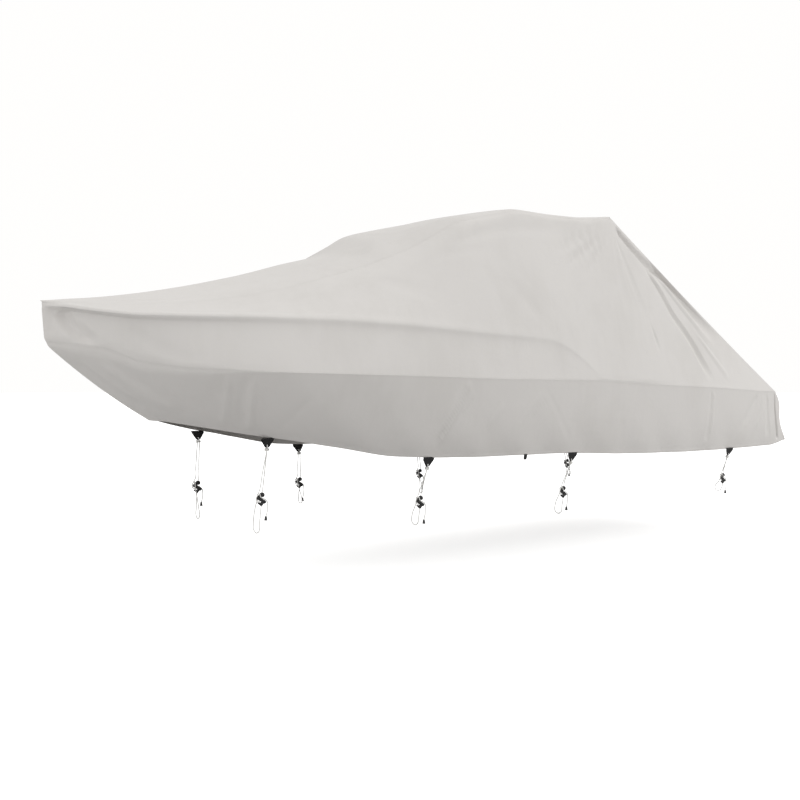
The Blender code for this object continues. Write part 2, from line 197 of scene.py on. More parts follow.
def joinParts(parts):       # several (verts, faces) lists as one
    verts, faces = [], []
    for partVerts, partFaces in parts:
        shift = len(verts)
        verts += [tuple(v) for v in partVerts]
        faces += [tuple(i + shift for i in face) for face in partFaces]
    return verts, faces


def gridNormals(grid, outwards):
    along = np.gradient(grid, axis=0)
    down = np.gradient(grid, axis=1)
    normal = np.cross(along, down) * outwards
    return normal / np.maximum(np.linalg.norm(normal, axis=2, keepdims=True), 1e-9)


def smoothLine(points, count):      # evenly spaced points on a soft curve through a few
    points = np.asarray(points, dtype=float)
    if len(points) == 2:
        share = np.linspace(0, 1, count)[:, None]
        return points[0] * (1 - share) + points[1] * share
    steps = np.linspace(0, len(points) - 1, count)
    made = []
    for step in steps:
        i = min(int(step), len(points) - 2)
        t = step - i
        before, after = points[max(i - 1, 0)], points[min(i + 2, len(points) - 1)]
        made.append(curveAt(before, points[i], points[i + 1], after, t))
    return np.array(made)


# a fold is (points of its line in a plane, depth, width at its two ends, shares of its length
# over which it fades in and out); a trough has depth > 0 and a ridge depth < 0
def foldHeights(across, up, folds):
    total = np.zeros(across.shape)
    for points, depth, width, fade in folds:
        line = smoothLine(points, cloth["foldSteps"])
        steps = np.linalg.norm(np.diff(line, axis=0), axis=1)
        reached = np.concatenate([[0.0], np.cumsum(steps)]) / steps.sum()
        nearest = np.full(across.shape, 1e9)
        along = np.zeros(across.shape)
        for i, (start, run) in enumerate(zip(line, np.diff(line, axis=0))):
            share = ((across - start[0]) * run[0] + (up - start[1]) * run[1]) / (run @ run)
            share = np.clip(share, 0.0, 1.0)
            away = np.hypot(across - start[0] - run[0] * share, up - start[1] - run[1] * share)
            along = np.where(away < nearest, reached[i] + (reached[i + 1] - reached[i]) * share, along)
            nearest = np.minimum(nearest, away)
        wide = width[0] + (width[1] - width[0]) * along
        shown = smoothStep(along / fade[0]) * smoothStep((1 - along) / fade[1])
        total -= depth * shown * (1 - np.clip(nearest / (wide / 2), 0.0, 1.0) ** 2) ** 2
    return total


def unevenness(grid, size, height, seed):      # slow soft swells, the same in each run
    flat = grid.reshape(-1, 3)
    made = [noise.noise(Vector((p[0] / size, p[1] / size, p[2] / size + seed))) for p in flat]
    return height * np.array(made).reshape(grid.shape[:2])


# crisp: degrees above which an edge stays sharp, so that the cut edges do
cloth = {"thickness": 0.002, "seamGap": 0.0006, "crisp": 60, "foldSteps": 20}


def clothPiece(name, grid, normals, faceOut):
    # outer face, inner face and rim in one closed mesh, with two metric UV maps
    rows, columns = grid.shape[:2]
    outer = grid.reshape(-1, 3)
    inner = outer - normals.reshape(-1, 3) * cloth["thickness"]
    shift = rows * columns
    quads = []
    for i in range(rows - 1):
        for j in range(columns - 1):
            a, b = i * columns + j, i * columns + j + 1
            c, d = b + columns, a + columns
            quads += [(a, b, c, d), (shift + d, shift + c, shift + b, shift + a)]
    last = (rows - 1) * columns
    rim = ([(i * columns, (i + 1) * columns) for i in range(rows - 1)]
           + [(last + j, last + j + 1) for j in range(columns - 1)]
           + [((i + 2) * columns - 1, (i + 1) * columns - 1) for i in range(rows - 1)]
           + [(j + 1, j) for j in range(columns - 1)])
    quads += [(a, b, b + shift, a + shift) for a, b in rim]
    faces = quads if faceOut else [tuple(reversed(quad)) for quad in quads]
    metres = metresOf(grid)
    down = metres[..., 1]
    seam = np.stack([metres[..., 0], np.minimum(down, down[:, -1:] - down)], axis=2)
    doubled = {key: np.concatenate([value.reshape(-1, 2)] * 2)
               for key, value in (("clothMetres", metres), ("seamMetres", seam))}
    piece = addMesh(name, np.concatenate([outer, inner]), faces, doubled)
    piece.data.set_sharp_from_angle(angle=math.radians(cloth["crisp"]))
    return piece


def metresOf(grid):      # arc length along the middle row and down each section
    middle = grid[:, grid.shape[1] // 2]
    along = np.concatenate([[0.0], np.cumsum(np.linalg.norm(np.diff(middle, axis=0), axis=1))])
    steps = np.linalg.norm(np.diff(grid, axis=1), axis=2)
    down = np.concatenate([np.zeros((grid.shape[0], 1)), np.cumsum(steps, axis=1)], axis=1)
    return np.stack([np.repeat(along[:, None], grid.shape[1], axis=1), down], axis=2)


# shader node groups
def newGroup(name, ins, outs):
    group = bpy.data.node_groups.new(name, "ShaderNodeTree")
    for label, kind, value in ins:
        socket = group.interface.new_socket(label, in_out="INPUT", socket_type=kind)
        if value is not None:
            socket.default_value = value
    for label, kind in outs:
        group.interface.new_socket(label, in_out="OUTPUT", socket_type=kind)
    return group, group.nodes.new("NodeGroupInput").outputs, group.nodes.new("NodeGroupOutput")


def feed(tree, node, inputs):       # links from other nodes' sockets, or values set on the sockets
    for key, value in inputs.items():
        socket = node.inputs[key]
        if isinstance(value, bpy.types.NodeSocket):
            tree.links.new(value, socket)
        else:
            socket.default_value = (*value[:3], 1.0) if socket.type == "RGBA" else value
    return node


def addNode(tree, kind, inputs=None, **settings):
    node = tree.nodes.new(kind)
    for key, value in settings.items():
        setattr(node, key, value)
    return feed(tree, node, inputs or {})


def addMath(tree, operation, *terms):
    return addNode(tree, "ShaderNodeMath", dict(enumerate(terms)), operation=operation).outputs[0]


def times(tree, first, second):
    return addMath(tree, "MULTIPLY", first, second)


def plus(tree, first, second):
    return addMath(tree, "ADD", first, second)


def addMix(tree, factor, first, second):
    return addNode(tree, "ShaderNodeMix", {0: factor, 6: first, 7: second}, data_type="RGBA").outputs[2]


def makeWeaveGroup():       # plain weave: warp and weft threads that pass over each other
    group, ins, outs = newGroup("plainWeave", [
        ("Vector", "NodeSocketVector", None), ("Threads", "NodeSocketFloat", 900.0)],
        [("Height", "NodeSocketFloat"), ("Gap", "NodeSocketFloat")])
    split = addNode(group, "ShaderNodeSeparateXYZ", {0: ins["Vector"]})
    waves, passes = [], []
    for axis in ("X", "Y"):
        threads = times(group, split.outputs[axis], ins["Threads"])
        waves.append(addMath(group, "COSINE", times(group, threads, 2 * math.pi)))
        passes.append(addMath(group, "COSINE", times(group, threads, math.pi)))
    height = plus(group, plus(group, *waves), times(group, *passes))
    feed(group, outs, {"Height": times(group, height, 0.33),
                       "Gap": addMath(group, "SUBTRACT", 0.5, times(group, height, 0.17))})
    return group


def makeSoilGroup():        # soft cloudy tone with faint run marks
    group, ins, outs = newGroup("softSoil", [
        ("Vector", "NodeSocketVector", None), ("Clean", "NodeSocketColor", (1, 1, 1, 1)),
        ("Soiled", "NodeSocketColor", (0.5, 0.5, 0.5, 1)), ("Amount", "NodeSocketFloat", 0.3),
        ("Scale", "NodeSocketFloat", 1.0)], [("Color", "NodeSocketColor"), ("Mask", "NodeSocketFloat")])
    squeeze = addNode(group, "ShaderNodeMapping", {"Scale": (5.0, 5.0, 0.7), "Vector": ins["Vector"]})
    marks = []
    for source, detail, roughness, share in ((ins["Vector"], 4.0, 0.55, 0.7),
                                             (squeeze.outputs[0], 3.0, 0.6, 0.3)):
        cloud = addNode(group, "ShaderNodeTexNoise", {"Vector": source, "Scale": ins["Scale"],
                                                      "Detail": detail, "Roughness": roughness})
        marks.append(times(group, cloud.outputs[0], share))
    spread = addNode(group, "ShaderNodeMapRange", {"Value": plus(group, *marks), "From Min": 0.42,
                                                   "From Max": 0.66}, interpolation_type="SMOOTHSTEP")
    mask = times(group, spread.outputs[0], ins["Amount"])
    feed(group, outs, {"Color": addMix(group, mask, ins["Clean"], ins["Soiled"]), "Mask": mask})
    return group


def makeStitchGroup():      # one row of stitches at a distance from an edge, with drawn-in puckers
    group, ins, outs = newGroup("stitchRow", [
        ("Vector", "NodeSocketVector", None), ("Offset", "NodeSocketFloat", 0.01),
        ("Length", "NodeSocketFloat", 0.008), ("Thickness", "NodeSocketFloat", 0.0011)],
        [("Mask", "NodeSocketFloat"), ("Height", "NodeSocketFloat")])
    split = addNode(group, "ShaderNodeSeparateXYZ", {0: ins["Vector"]}).outputs
    away = addMath(group, "ABSOLUTE", addMath(group, "SUBTRACT", split["Y"], ins["Offset"]))
    row = addMath(group, "LESS_THAN", away, ins["Thickness"])
    repeat = addMath(group, "FRACT", addMath(group, "DIVIDE", split["X"], ins["Length"]))
    mask = times(group, row, addMath(group, "LESS_THAN", repeat, 0.72))
    wave = addNode(group, "ShaderNodeTexNoise", {"W": split["X"], "Scale": 34.0, "Detail": 1.0},
                   noise_dimensions="1D")

    def fading(distance):
        return addMath(group, "POWER", 2.718, addMath(group, "DIVIDE", away, -distance))

    pucker = times(group, addMath(group, "SUBTRACT", wave.outputs[0], 0.5), fading(0.012))
    drawn = plus(group, times(group, pucker, 2.2), times(group, fading(0.0025), -0.5))
    feed(group, outs, {"Mask": mask, "Height": plus(group, drawn, times(group, mask, 0.6))})
    return group


groups = {"weave": makeWeaveGroup(), "soil": makeSoilGroup(), "stitch": makeStitchGroup()}


def addGroup(tree, key, inputs):
    return addNode(tree, "ShaderNodeGroup", inputs, node_tree=groups[key]).outputs


def addSoil(tree, where, look):
    return addGroup(tree, "soil", {"Vector": where, "Clean": look["clean"], "Soiled": look["soiled"],
                                   "Amount": look["soil"], "Scale": look["soilScale"]})


def addBump(tree, height, distance, strength=1.0, normal=None):
    bump = addNode(tree, "ShaderNodeBump", {"Height": height, "Distance": distance,
                                            "Strength": strength})
    if normal is not None:
        feed(tree, bump, {"Normal": normal})
    return bump.outputs["Normal"]


def addMetres(tree, layer):
    return addNode(tree, "ShaderNodeUVMap", uv_map=layer).outputs[0]


def newMaterial(name, roughness, sheen=0.0, specular=0.5):
    made = bpy.data.materials.new(name)
    made.use_nodes = True
    tree = made.node_tree
    shader = feed(tree, tree.nodes["Principled BSDF"], {
        "Roughness": roughness, "Sheen Weight": sheen, "Specular IOR Level": specular})
    return made, tree, shader, addNode(tree, "ShaderNodeTexCoord").outputs["Object"]


def roughened(tree, soil, look, amount):        # rougher where it is soiled
    return plus(tree, times(tree, soil["Mask"], amount), look["cleanRoughness"])


coverCloth = {"clean": (0.665, 0.645, 0.625), "soiled": (0.575, 0.555, 0.53),
              "thread": (0.60, 0.585, 0.565), "gap": (0.40, 0.39, 0.38), "gapShade": 0.10,
              "soil": 0.30, "soilScale": 1.6, "roughness": 0.88, "cleanRoughness": 0.82,
              "threads": 900.0, "seamRow": 0.010}


def makeClothMaterial():
    look = coverCloth
    made, tree, shader, where = newMaterial("coverCloth", look["roughness"], sheen=0.12, specular=0.25)
    soil = addSoil(tree, where, look)
    weave = addGroup(tree, "weave", {"Threads": look["threads"],
                                     "Vector": addMetres(tree, "clothMetres")})
    stitch = addGroup(tree, "stitch", {"Offset": look["seamRow"],
                                       "Vector": addMetres(tree, "seamMetres")})
    woven = addMix(tree, times(tree, weave["Gap"], look["gapShade"]), soil["Color"], look["gap"])
    crinkle = addNode(tree, "ShaderNodeTexNoise", {"Vector": where, "Scale": 9.0, "Detail": 5.0,
                                                   "Roughness": 0.62, "Distortion": 0.6})
    normal = addBump(tree, crinkle.outputs[0], 0.006, 0.35)
    normal = addBump(tree, stitch["Height"], 0.0012, 0.45, normal)
    normal = addBump(tree, weave["Height"], 0.00012, 0.6, normal)
    feed(tree, shader, {
        "Base Color": addMix(tree, times(tree, stitch["Mask"], 0.8), woven, look["thread"]),
        "Roughness": roughened(tree, soil, look, 0.15), "Normal": normal})
    return made


webbing = {"clean": (0.010, 0.010, 0.011), "soiled": (0.030, 0.029, 0.028), "gap": (0.004, 0.004, 0.004),
           "gapShade": 0.5, "soil": 0.5, "soilScale": 14.0, "roughness": 0.75, "sheen": 0.1,
           "threads": 420.0}
whiteCord = {"clean": (0.83, 0.83, 0.81), "soiled": (0.62, 0.60, 0.56), "gap": (0.42, 0.41, 0.39),
             "gapShade": 0.25, "soil": 0.45, "soilScale": 12.0, "roughness": 0.7, "sheen": 0.2,
             "threads": 260.0, "uvMap": "cordMetres"}


def makeWovenMaterial(name, look):      # laid out by its UV map, or else upright in the piece's own axes
    made, tree, shader, where = newMaterial(name, look["roughness"], sheen=look["sheen"], specular=0.3)
    if "uvMap" in look:
        laid = addMetres(tree, look["uvMap"])
    else:
        laid = addNode(tree, "ShaderNodeMapping", {
            "Vector": where, "Rotation": (math.radians(90), 0.0, 0.0)}).outputs[0]
    weave = addGroup(tree, "weave", {"Threads": look["threads"], "Vector": laid})
    soil = addSoil(tree, where, look)
    colour = addMix(tree, times(tree, weave["Gap"], look["gapShade"]), soil["Color"], look["gap"])
    feed(tree, shader, {"Base Color": colour, "Normal": addBump(tree, weave["Height"], 0.0004, 0.8)})
    return made


plastic = {"clean": (0.009, 0.009, 0.010), "soiled": (0.026, 0.025, 0.024), "soil": 0.6,
           "soilScale": 30.0, "roughness": 0.42, "cleanRoughness": 0.34}


def makePlasticMaterial():
    made, tree, shader, where = newMaterial("blackPlastic", plastic["roughness"])
    grain = addNode(tree, "ShaderNodeTexNoise", {"Vector": where, "Scale": 1400.0, "Detail": 2.0})
    soil = addSoil(tree, where, plastic)
    feed(tree, shader, {"Base Color": soil["Color"], "Roughness": roughened(tree, soil, plastic, 0.3),
                        "Normal": addBump(tree, grain.outputs[0], 0.0002, 0.5)})
    return made


materials = {"cloth": makeClothMaterial(), "webbing": makeWovenMaterial("blackWebbing", webbing),
             "plastic": makePlasticMaterial(), "cord": makeWovenMaterial("whiteCord", whiteCord)}
print("materials made:", len(materials))


def finishPiece(piece, material, slot, *nodes):
    piece.data.materials.clear()
    piece.data.materials.append(materials[material])
    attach(piece, root)
    if nodes:
        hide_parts(*nodes)
    return piece


# ties: tab's station, ratchet head's station, half-breadth, height, loop's height, tail
ties = (
    (1.42, 1.400, 0.500, 0.694, 0.420, 0.092),
    (2.58, 2.558, 0.850, 0.620, 0.416, 0.103),
    (4.01, 3.990, 0.950, 0.604, 0.394, 0.092),
    (6.08, 6.100, 1.000, 0.588, 0.440, 0.082))
tie = {"cord": 0.007, "rail": 0.060, "tabTop": 0.104, "tabTip": 0.028, "tabDrop": 0.056,
       "tabThickness": 0.0025, "slot": 0.0065, "slotAboveTip": 0.017, "tabRoot": 0.020,
       "tabInset": 0.004, "tabBelow": 0.010, "ratchet": 0.016, "head": 0.018, "clearance": 0.0006,
       "cordAbove": 0.026}


# plaited cord: sides round it, plait, and the longest step and sharpest turn between its rings
braid = {"sides": 14, "strands": 7, "pitch": 0.020, "depth": 0.055, "step": 0.0035,
         "knotStep": 0.0025, "turn": math.radians(14), "parts": 24, "seam": 0.004}


def smoothRoute(points, step):      # a soft curve, its points closer where it turns
    points = [Vector(p) for p in points]
    spans = [(end - start).length for start, end in zip(points, points[1:])]
    slopes = [(end - start) / span for start, end, span in zip(points, points[1:], spans)]
    tangents = [slopes[0]]
    for i in range(1, len(slopes)):
        near, far = spans[i - 1], spans[i]
        tangents.append((slopes[i - 1] * far + slopes[i] * near) / (near + far))
    tangents.append(slopes[-1])
    fine = []
    for i, span in enumerate(spans):
        for part in range(braid["parts"]):
            fine.append(easeBetween(points[i], points[i + 1], tangents[i] * span,
                                    tangents[i + 1] * span, part / braid["parts"]))
    fine.append(points[-1])
    kept, travelled, turned = [fine[0]], 0.0, 0.0
    for before, point, after in zip(fine, fine[1:], fine[2:]):
        travelled += (point - before).length
        turned += (point - before).angle(after - point, 0.0)
        if travelled >= step or turned >= braid["turn"]:
            kept.append(point)
            travelled, turned = 0.0, 0.0
    return kept + [fine[-1]]


def cordTube(name, points, radius):     # carries its section along without twisting, with plaited ridges
    sides, strands = braid["sides"], braid["strands"]
    tangents = [(points[min(i + 1, len(points) - 1)] - points[max(i - 1, 0)]).normalized()
                for i in range(len(points))]
    axis = tangents[0].orthogonal().normalized()
    verts, uvs, run = [], [], 0.0
    for i, (point, tangent) in enumerate(zip(points, tangents)):
        axis = (axis - tangent * axis.dot(tangent)).normalized()
        across = tangent.cross(axis)
        if i:
            run += (point - points[i - 1]).length
        phase = run / braid["pitch"] * 2 * math.pi
        for k in range(sides):
            angle = 2 * math.pi * k / sides
            plait = math.cos(strands * angle / 2 + phase) * math.cos(strands * angle / 2 - phase)
            size = radius * (1 + braid["depth"] * plait)
            verts.append(point + (axis * math.cos(angle) + across * math.sin(angle)) * size)
            uvs.append((run + k / sides * braid["seam"], angle * radius))
    return addMesh(name, verts, ringFaces(len(points), sides), {"cordMetres": uvs})


def circle(sides):
    return [(math.cos(2 * math.pi * k / sides), math.sin(2 * math.pi * k / sides)) for k in range(sides)]


def routeLength(points):
    return sum((b - a).length for a, b in zip(points, points[1:]))


def tabFrame(station, head=None):       # places on a tab under the hem; a cord's head pulls it over
    low = onLine(lines["hem"], station)
    high = onLine(lines["gunwale"], min(station, sternCorner[0]))
    top = (low[0], low[1] - tie["tabInset"], low[2] - tie["tabBelow"])
    skirtLean = math.atan2(high[1] - low[1], high[2] - low[2])
    lean = math.atan2(top[1] - head[0], top[2] - head[1]) if head else skirtLean

    def onTab(across, up, out):     # up from the tab's upper edge, out from its middle
        angle = lean if up <= 0 else skirtLean
        return (top[0] + across, top[1] + up * math.sin(angle) + out * math.cos(angle),
                top[2] + up * math.cos(angle) - out * math.sin(angle))

    return onTab


def tieLayout(row, side):      # the places that one tie's pieces share
    tabAt, headAt, headOut, headUp, turnUp, tail = row
    onTab = tabFrame(tabAt, (headOut, headUp + tie["cordAbove"]))

    def besideTab(across, down, out):
        return onTab(across, tie["slotAboveTip"] - tie["tabDrop"] - down, out)

    def nearHead(across, outboard, up):
        return headAt + across, headOut + outboard, headUp + up

    return {"side": side, "onTab": onTab, "besideTab": besideTab, "nearHead": nearHead,
            "turn": turnUp - headUp, "tail": tail}


def hangingRoute(at):       # from the ratchet's bar up through the tab and down to its head
    besideTab, nearHead = at["besideTab"], at["nearHead"]
    out = tie["cord"] / 2 + tie["tabThickness"] / 2 + 0.0015
    left, right = nearHead(-0.024, 0.003, 0.030), nearHead(0.005, -0.001, 0.030)
    return [
        nearHead(-0.016, 0.000, -0.0485), nearHead(-0.024, 0.000, -0.0455),
        nearHead(-0.036, 0.000, -0.0405), nearHead(-0.0460, 0.001, -0.0340),
        nearHead(-0.0495, 0.004, -0.0190), nearHead(-0.0420, 0.006, -0.0020),
        nearHead(-0.0330, 0.005, 0.0130), left,
        blend(left, besideTab(-0.005, 0.03, out), 0.35), blend(left, besideTab(-0.005, 0.03, out), 0.70),
        besideTab(-0.004, 0.030, out + 0.001), besideTab(-0.002, 0.012, out),
        besideTab(-0.001, 0.003, out * 0.75), besideTab(0.0, -0.001, 0.0),
        besideTab(0.001, 0.003, -out * 0.75), besideTab(0.002, 0.012, -out),
        besideTab(0.004, 0.030, -out - 0.001),
        blend(right, besideTab(0.005, 0.03, -out), 0.70),
        blend(right, besideTab(0.005, 0.03, -out), 0.35),
        right, nearHead(0.0035, 0.0, tie["head"] + tie["clearance"] * 3)]


def runningRoute(at):       # from the hook round the trailer's rail, over the bar, to the stopper
    nearHead, turn, tail = at["nearHead"], at["turn"], at["tail"]
    front = tie["ratchet"] / 2 + tie["cord"] / 2 + tie["clearance"]
    rail = tie["rail"]
    return [
        nearHead(-0.007, 0.000, -0.077 - tie["clearance"] * 2), nearHead(-0.010, 0.000, -0.100),
        nearHead(-0.016, -0.004, turn / 2 - 0.04), nearHead(-0.020, -0.012, turn + 0.014),
        nearHead(-0.022, -0.012 - rail / 2, turn), nearHead(-0.024, -0.012 - rail, turn + 0.016),
        nearHead(-0.030, -0.006 - rail, turn / 2 - 0.03),
        nearHead(-0.031, -front - 0.016, -0.060), nearHead(-0.030, -front - 0.001, -0.028),
        nearHead(-0.0305, -front - 0.0012, -0.0080), nearHead(-0.0305, -front - 0.0008, 0.0045),
        nearHead(-0.0285, -0.0050, 0.0085), nearHead(-0.0275, 0.0050, 0.0090),
        nearHead(-0.0255, front + 0.0012, 0.0060), nearHead(-0.0210, front + 0.0015, -0.0080),
        nearHead(-0.0100, front + 0.0010, -0.0185), nearHead(0.0080, front + 0.0006, -0.0265),
        nearHead(0.0265, front, -0.0370), nearHead(0.0400, 0.006, -0.0530),
        nearHead(0.0420, 0.003, -0.0740), nearHead(0.0400, 0.003, -0.066 - tail * 0.6),
        nearHead(0.0300, 0.002, -0.062 - tail)]


def makeCord(name, route, side, node):
    points = smoothRoute([place(p, side) for p in route], braid["step"])
    made = finishPiece(cordTube(name, points, tie["cord"] / 2), "cord", "white_cord", node)
    return made, points


hitch = {"steps": 44, "turns": 2.25, "start": 2.2, "below": 0.0225, "rise": 0.0150,
         "across": 0.0155, "out": 0.0128}


def hitchRoute(at):     # two turns of cord round both strands, right under the tab's tip
    points = []
    for step in range(hitch["steps"] + 1):
        share = step / hitch["steps"]
        angle = 2 * math.pi * hitch["turns"] * share + hitch["start"]
        across, out = hitch["across"] * math.cos(angle), hitch["out"] * math.sin(angle)
        points.append(at["besideTab"](across, hitch["below"] + hitch["rise"] * share, out))
    return points


# ratchet: an S of moulded plastic with a bossed head; soft: how far its corners are rounded
ratchetLook = {"edge": 0.0016, "parting": 0.0016, "partingDepth": 0.0007, "soft": 0.7,
               "boss": 0.0145, "bossHeight": 0.0016, "rivet": 0.0050, "bossSides": 32}


def ratchetOutline():
    size = tie["head"]
    head = [(size * math.cos(math.radians(a)), size * math.sin(math.radians(a)))
            for a in range(-50, 181, 11)]
    head = [p for p in head if not (p[0] < -0.016 and p[1] < 0.006)]
    outside = [(-0.030, -0.005), (-0.041, -0.013), (-0.043, -0.023), (-0.036, -0.031),
               (-0.020, -0.040), (-0.004, -0.050)]
    hook = [(-0.014, -0.055), (-0.030, -0.050), (-0.036, -0.056), (-0.022, -0.068),
            (-0.012, -0.077), (-0.002, -0.077), (0.008, -0.064)]
    inside = [(0.022, -0.062), (0.031, -0.054), (0.027, -0.043), (0.008, -0.031),
              (-0.010, -0.021), (-0.008, -0.0165)]
    ring = np.array(head[::3] + outside + hook + inside)
    soft = ratchetLook["soft"]
    made = []
    for i in range(len(ring)):
        before, first, second, after = (ring[(i + k) % len(ring)] for k in (-1, 0, 1, 2))
        for t in (0.0, 0.34, 0.67):
            straight = first * (1 - t) + second * t
            made.append(curveAt(before, first, second, after, t) * soft + straight * (1 - soft))
    return np.array(made)


def plate(outline, layers, toWorld):
    # closed solid from one outline: layers of (out, inset), capped at both ends
    ahead, behind = np.roll(outline, -1, axis=0), np.roll(outline, 1, axis=0)
    run = ahead - behind
    inward = np.stack([-run[:, 1], run[:, 0]], axis=1)
    inward /= np.maximum(np.linalg.norm(inward, axis=1, keepdims=True), 1e-9)
    twice = np.sum(outline[:, 0] * ahead[:, 1] - ahead[:, 0] * outline[:, 1])
    inward *= np.sign(twice)
    verts = [toWorld(p[0], p[1], out) for out, inset in layers for p in outline + inward * inset]
    return verts, ringFaces(len(layers), len(outline))


def lathe(profile, sides, toWorld):     # rows of (radius, height) turned round an upright axis
    verts = [toWorld(radius * x, radius * y, height) for radius, height in profile
             for x, y in circle(sides)]
    return verts, ringFaces(len(profile), sides)


def cleanPiece(piece):      # outward faces, triangulated caps, crisp edges kept
    mesh = bmesh.new()
    mesh.from_mesh(piece.data)
    bmesh.ops.recalc_face_normals(mesh, faces=mesh.faces)
    big = [face for face in mesh.faces if len(face.verts) > 4]
    bmesh.ops.triangulate(mesh, faces=big, ngon_method="EAR_CLIP")
    mesh.to_mesh(piece.data)
    mesh.free()
    piece.data.set_sharp_from_angle(angle=math.radians(40))
    return piece


def solidPiece(name, parts, material, slot, node):
    verts, faces = joinParts(parts)
    return finishPiece(cleanPiece(addMesh(name, verts, faces)), material, slot, node)


def makeRatchet(at, tag):
    half, side = tie["ratchet"] / 2, at["side"]
    edge, parting = ratchetLook["edge"], ratchetLook["parting"]

    def toWorld(across, up, out):
        return place(at["nearHead"](across, out, up), side)

    near = [(-half, edge), (-half + edge * 0.4, edge * 0.4), (-half + edge, 0.0), (-parting, 0.0),
            (-parting / 2, ratchetLook["partingDepth"])]        # out, inset
    parts = [plate(ratchetOutline(), near + [(-out, inset) for out, inset in reversed(near)], toWorld)]
    boss, rise, rivet = ratchetLook["boss"], ratchetLook["bossHeight"], ratchetLook["rivet"]
    profile = [(boss, -0.001), (boss, rise * 0.6), (boss - 0.0008, rise), (boss - 0.0026, rise),
               (boss - 0.0032, rise * 0.3), (rivet + 0.0018, rise * 0.3), (rivet + 0.0010, rise * 0.9),
               (rivet, rise * 1.5), (rivet * 0.55, rise * 1.9), (0.0004, rise * 2.0)]
    for face in (-1, 1):
        parts.append(lathe(profile, ratchetLook["bossSides"],
                           lambda x, y, h, face=face: toWorld(x, y, face * (half + h))))
    return solidPiece("ratchetBody_" + tag, parts, "plastic", "black_plastic", "ratchet_" + tag)


# bell-shaped end of the cord: radius and height, round the outside and up into its mouth
bell = {"sides": 40, "profile": (
    (0.0004, 0.0016), (0.0042, 0.0016), (0.0052, 0.0004), (0.0066, -0.0012), (0.0076, -0.0040),
    (0.0080, -0.0090), (0.0085, -0.0140), (0.0098, -0.0200), (0.0112, -0.0250), (0.0116, -0.0270),
    (0.0113, -0.0284), (0.0104, -0.0287), (0.0094, -0.0270), (0.0082, -0.0220), (0.0066, -0.0190),
    (0.0004, -0.0180))}


def makeStopper(tag, end):
    centre = end - Vector((0.0006, 0.0, tie["clearance"]))
    parts = [lathe(bell["profile"], bell["sides"], lambda x, y, h: centre + Vector((x, y, h)))]
    return solidPiece("bellStopper_" + tag, parts, "plastic", "black_plastic", "stopper_" + tag)


# tabs: black webbing sewn into the hem, with a slot for the cord; radii of the beads
tabLook = {"edgeSteps": 6, "holeSteps": 24, "beadSides": 8, "border": 0.0019, "eyelet": 0.0012,
           "stitch": 0.0005, "stitchRows": (0.86, 0.78), "stitchLength": 0.33, "middle": 0.42}


def tabOutline(top, tip, drop):
    ease = tip * 0.25
    corners = [(-top / 2, 0.0), (-tip / 2 - ease * 0.6, -drop + ease), (-tip / 2 + ease, -drop),
               (tip / 2 - ease, -drop), (tip / 2 + ease * 0.6, -drop + ease), (top / 2, 0.0)]
    made = []
    for first, second in zip(corners, corners[1:] + corners[:1]):
        steps = tabLook["edgeSteps"]
        made += [blend(first, second, step / steps) for step in range(steps)]
    return made


def tabBorder(outline, radius, toWorld):        # turned and sewn edge, all round but for the top
    return bead([(x, y, 0.0) for x, y in outline[:5 * tabLook["edgeSteps"] + 1]], radius, toWorld)


def tabPlate(outline, hole, thickness, toWorld):    # plate with a slot, filled with triangles
    mesh = bmesh.new()
    loops = []
    for points in ([outline, hole] if hole else [outline]):
        ring = [mesh.verts.new((x, y, 0.0)) for x, y in points]
        edges = [mesh.edges.new(pair) for pair in zip(ring, ring[1:] + ring[:1])]
        loops.append((ring, edges))
    bmesh.ops.triangle_fill(mesh, use_beauty=True, edges=[e for ring, edges in loops for e in edges])
    mesh.verts.index_update()
    flat = [(v.co.x, v.co.y) for v in mesh.verts]
    triangles = [tuple(v.index for v in face.verts) for face in mesh.faces]
    rings = [[v.index for v in ring] for ring, edges in loops]
    mesh.free()
    count = len(flat)
    verts = [toWorld(x, y, out) for out in (thickness / 2, -thickness / 2) for x, y in flat]
    faces = triangles + [tuple(count + i for i in reversed(face)) for face in triangles]
    for ring in rings:
        for a, b in zip(ring, ring[1:] + ring[:1]):
            faces.append((a, b, b + count, a + count))
    return verts, faces


def bead(points, radius, toWorld, closed=False):    # thin round edge along a line on the tab
    route = [toWorld(*p) for p in points]
    if closed:
        route.append(route[0])
    verts = []
    for i, point in enumerate(route):
        run = (route[min(i + 1, len(route) - 1)] - route[max(i - 1, 0)]).normalized()
        axis = run.orthogonal().normalized() if not verts else (axis - run * axis.dot(run)).normalized()
        across = run.cross(axis)
        verts += [point + (axis * x + across * y) * radius for x, y in circle(tabLook["beadSides"])]
    return verts, ringFaces(len(route), tabLook["beadSides"])


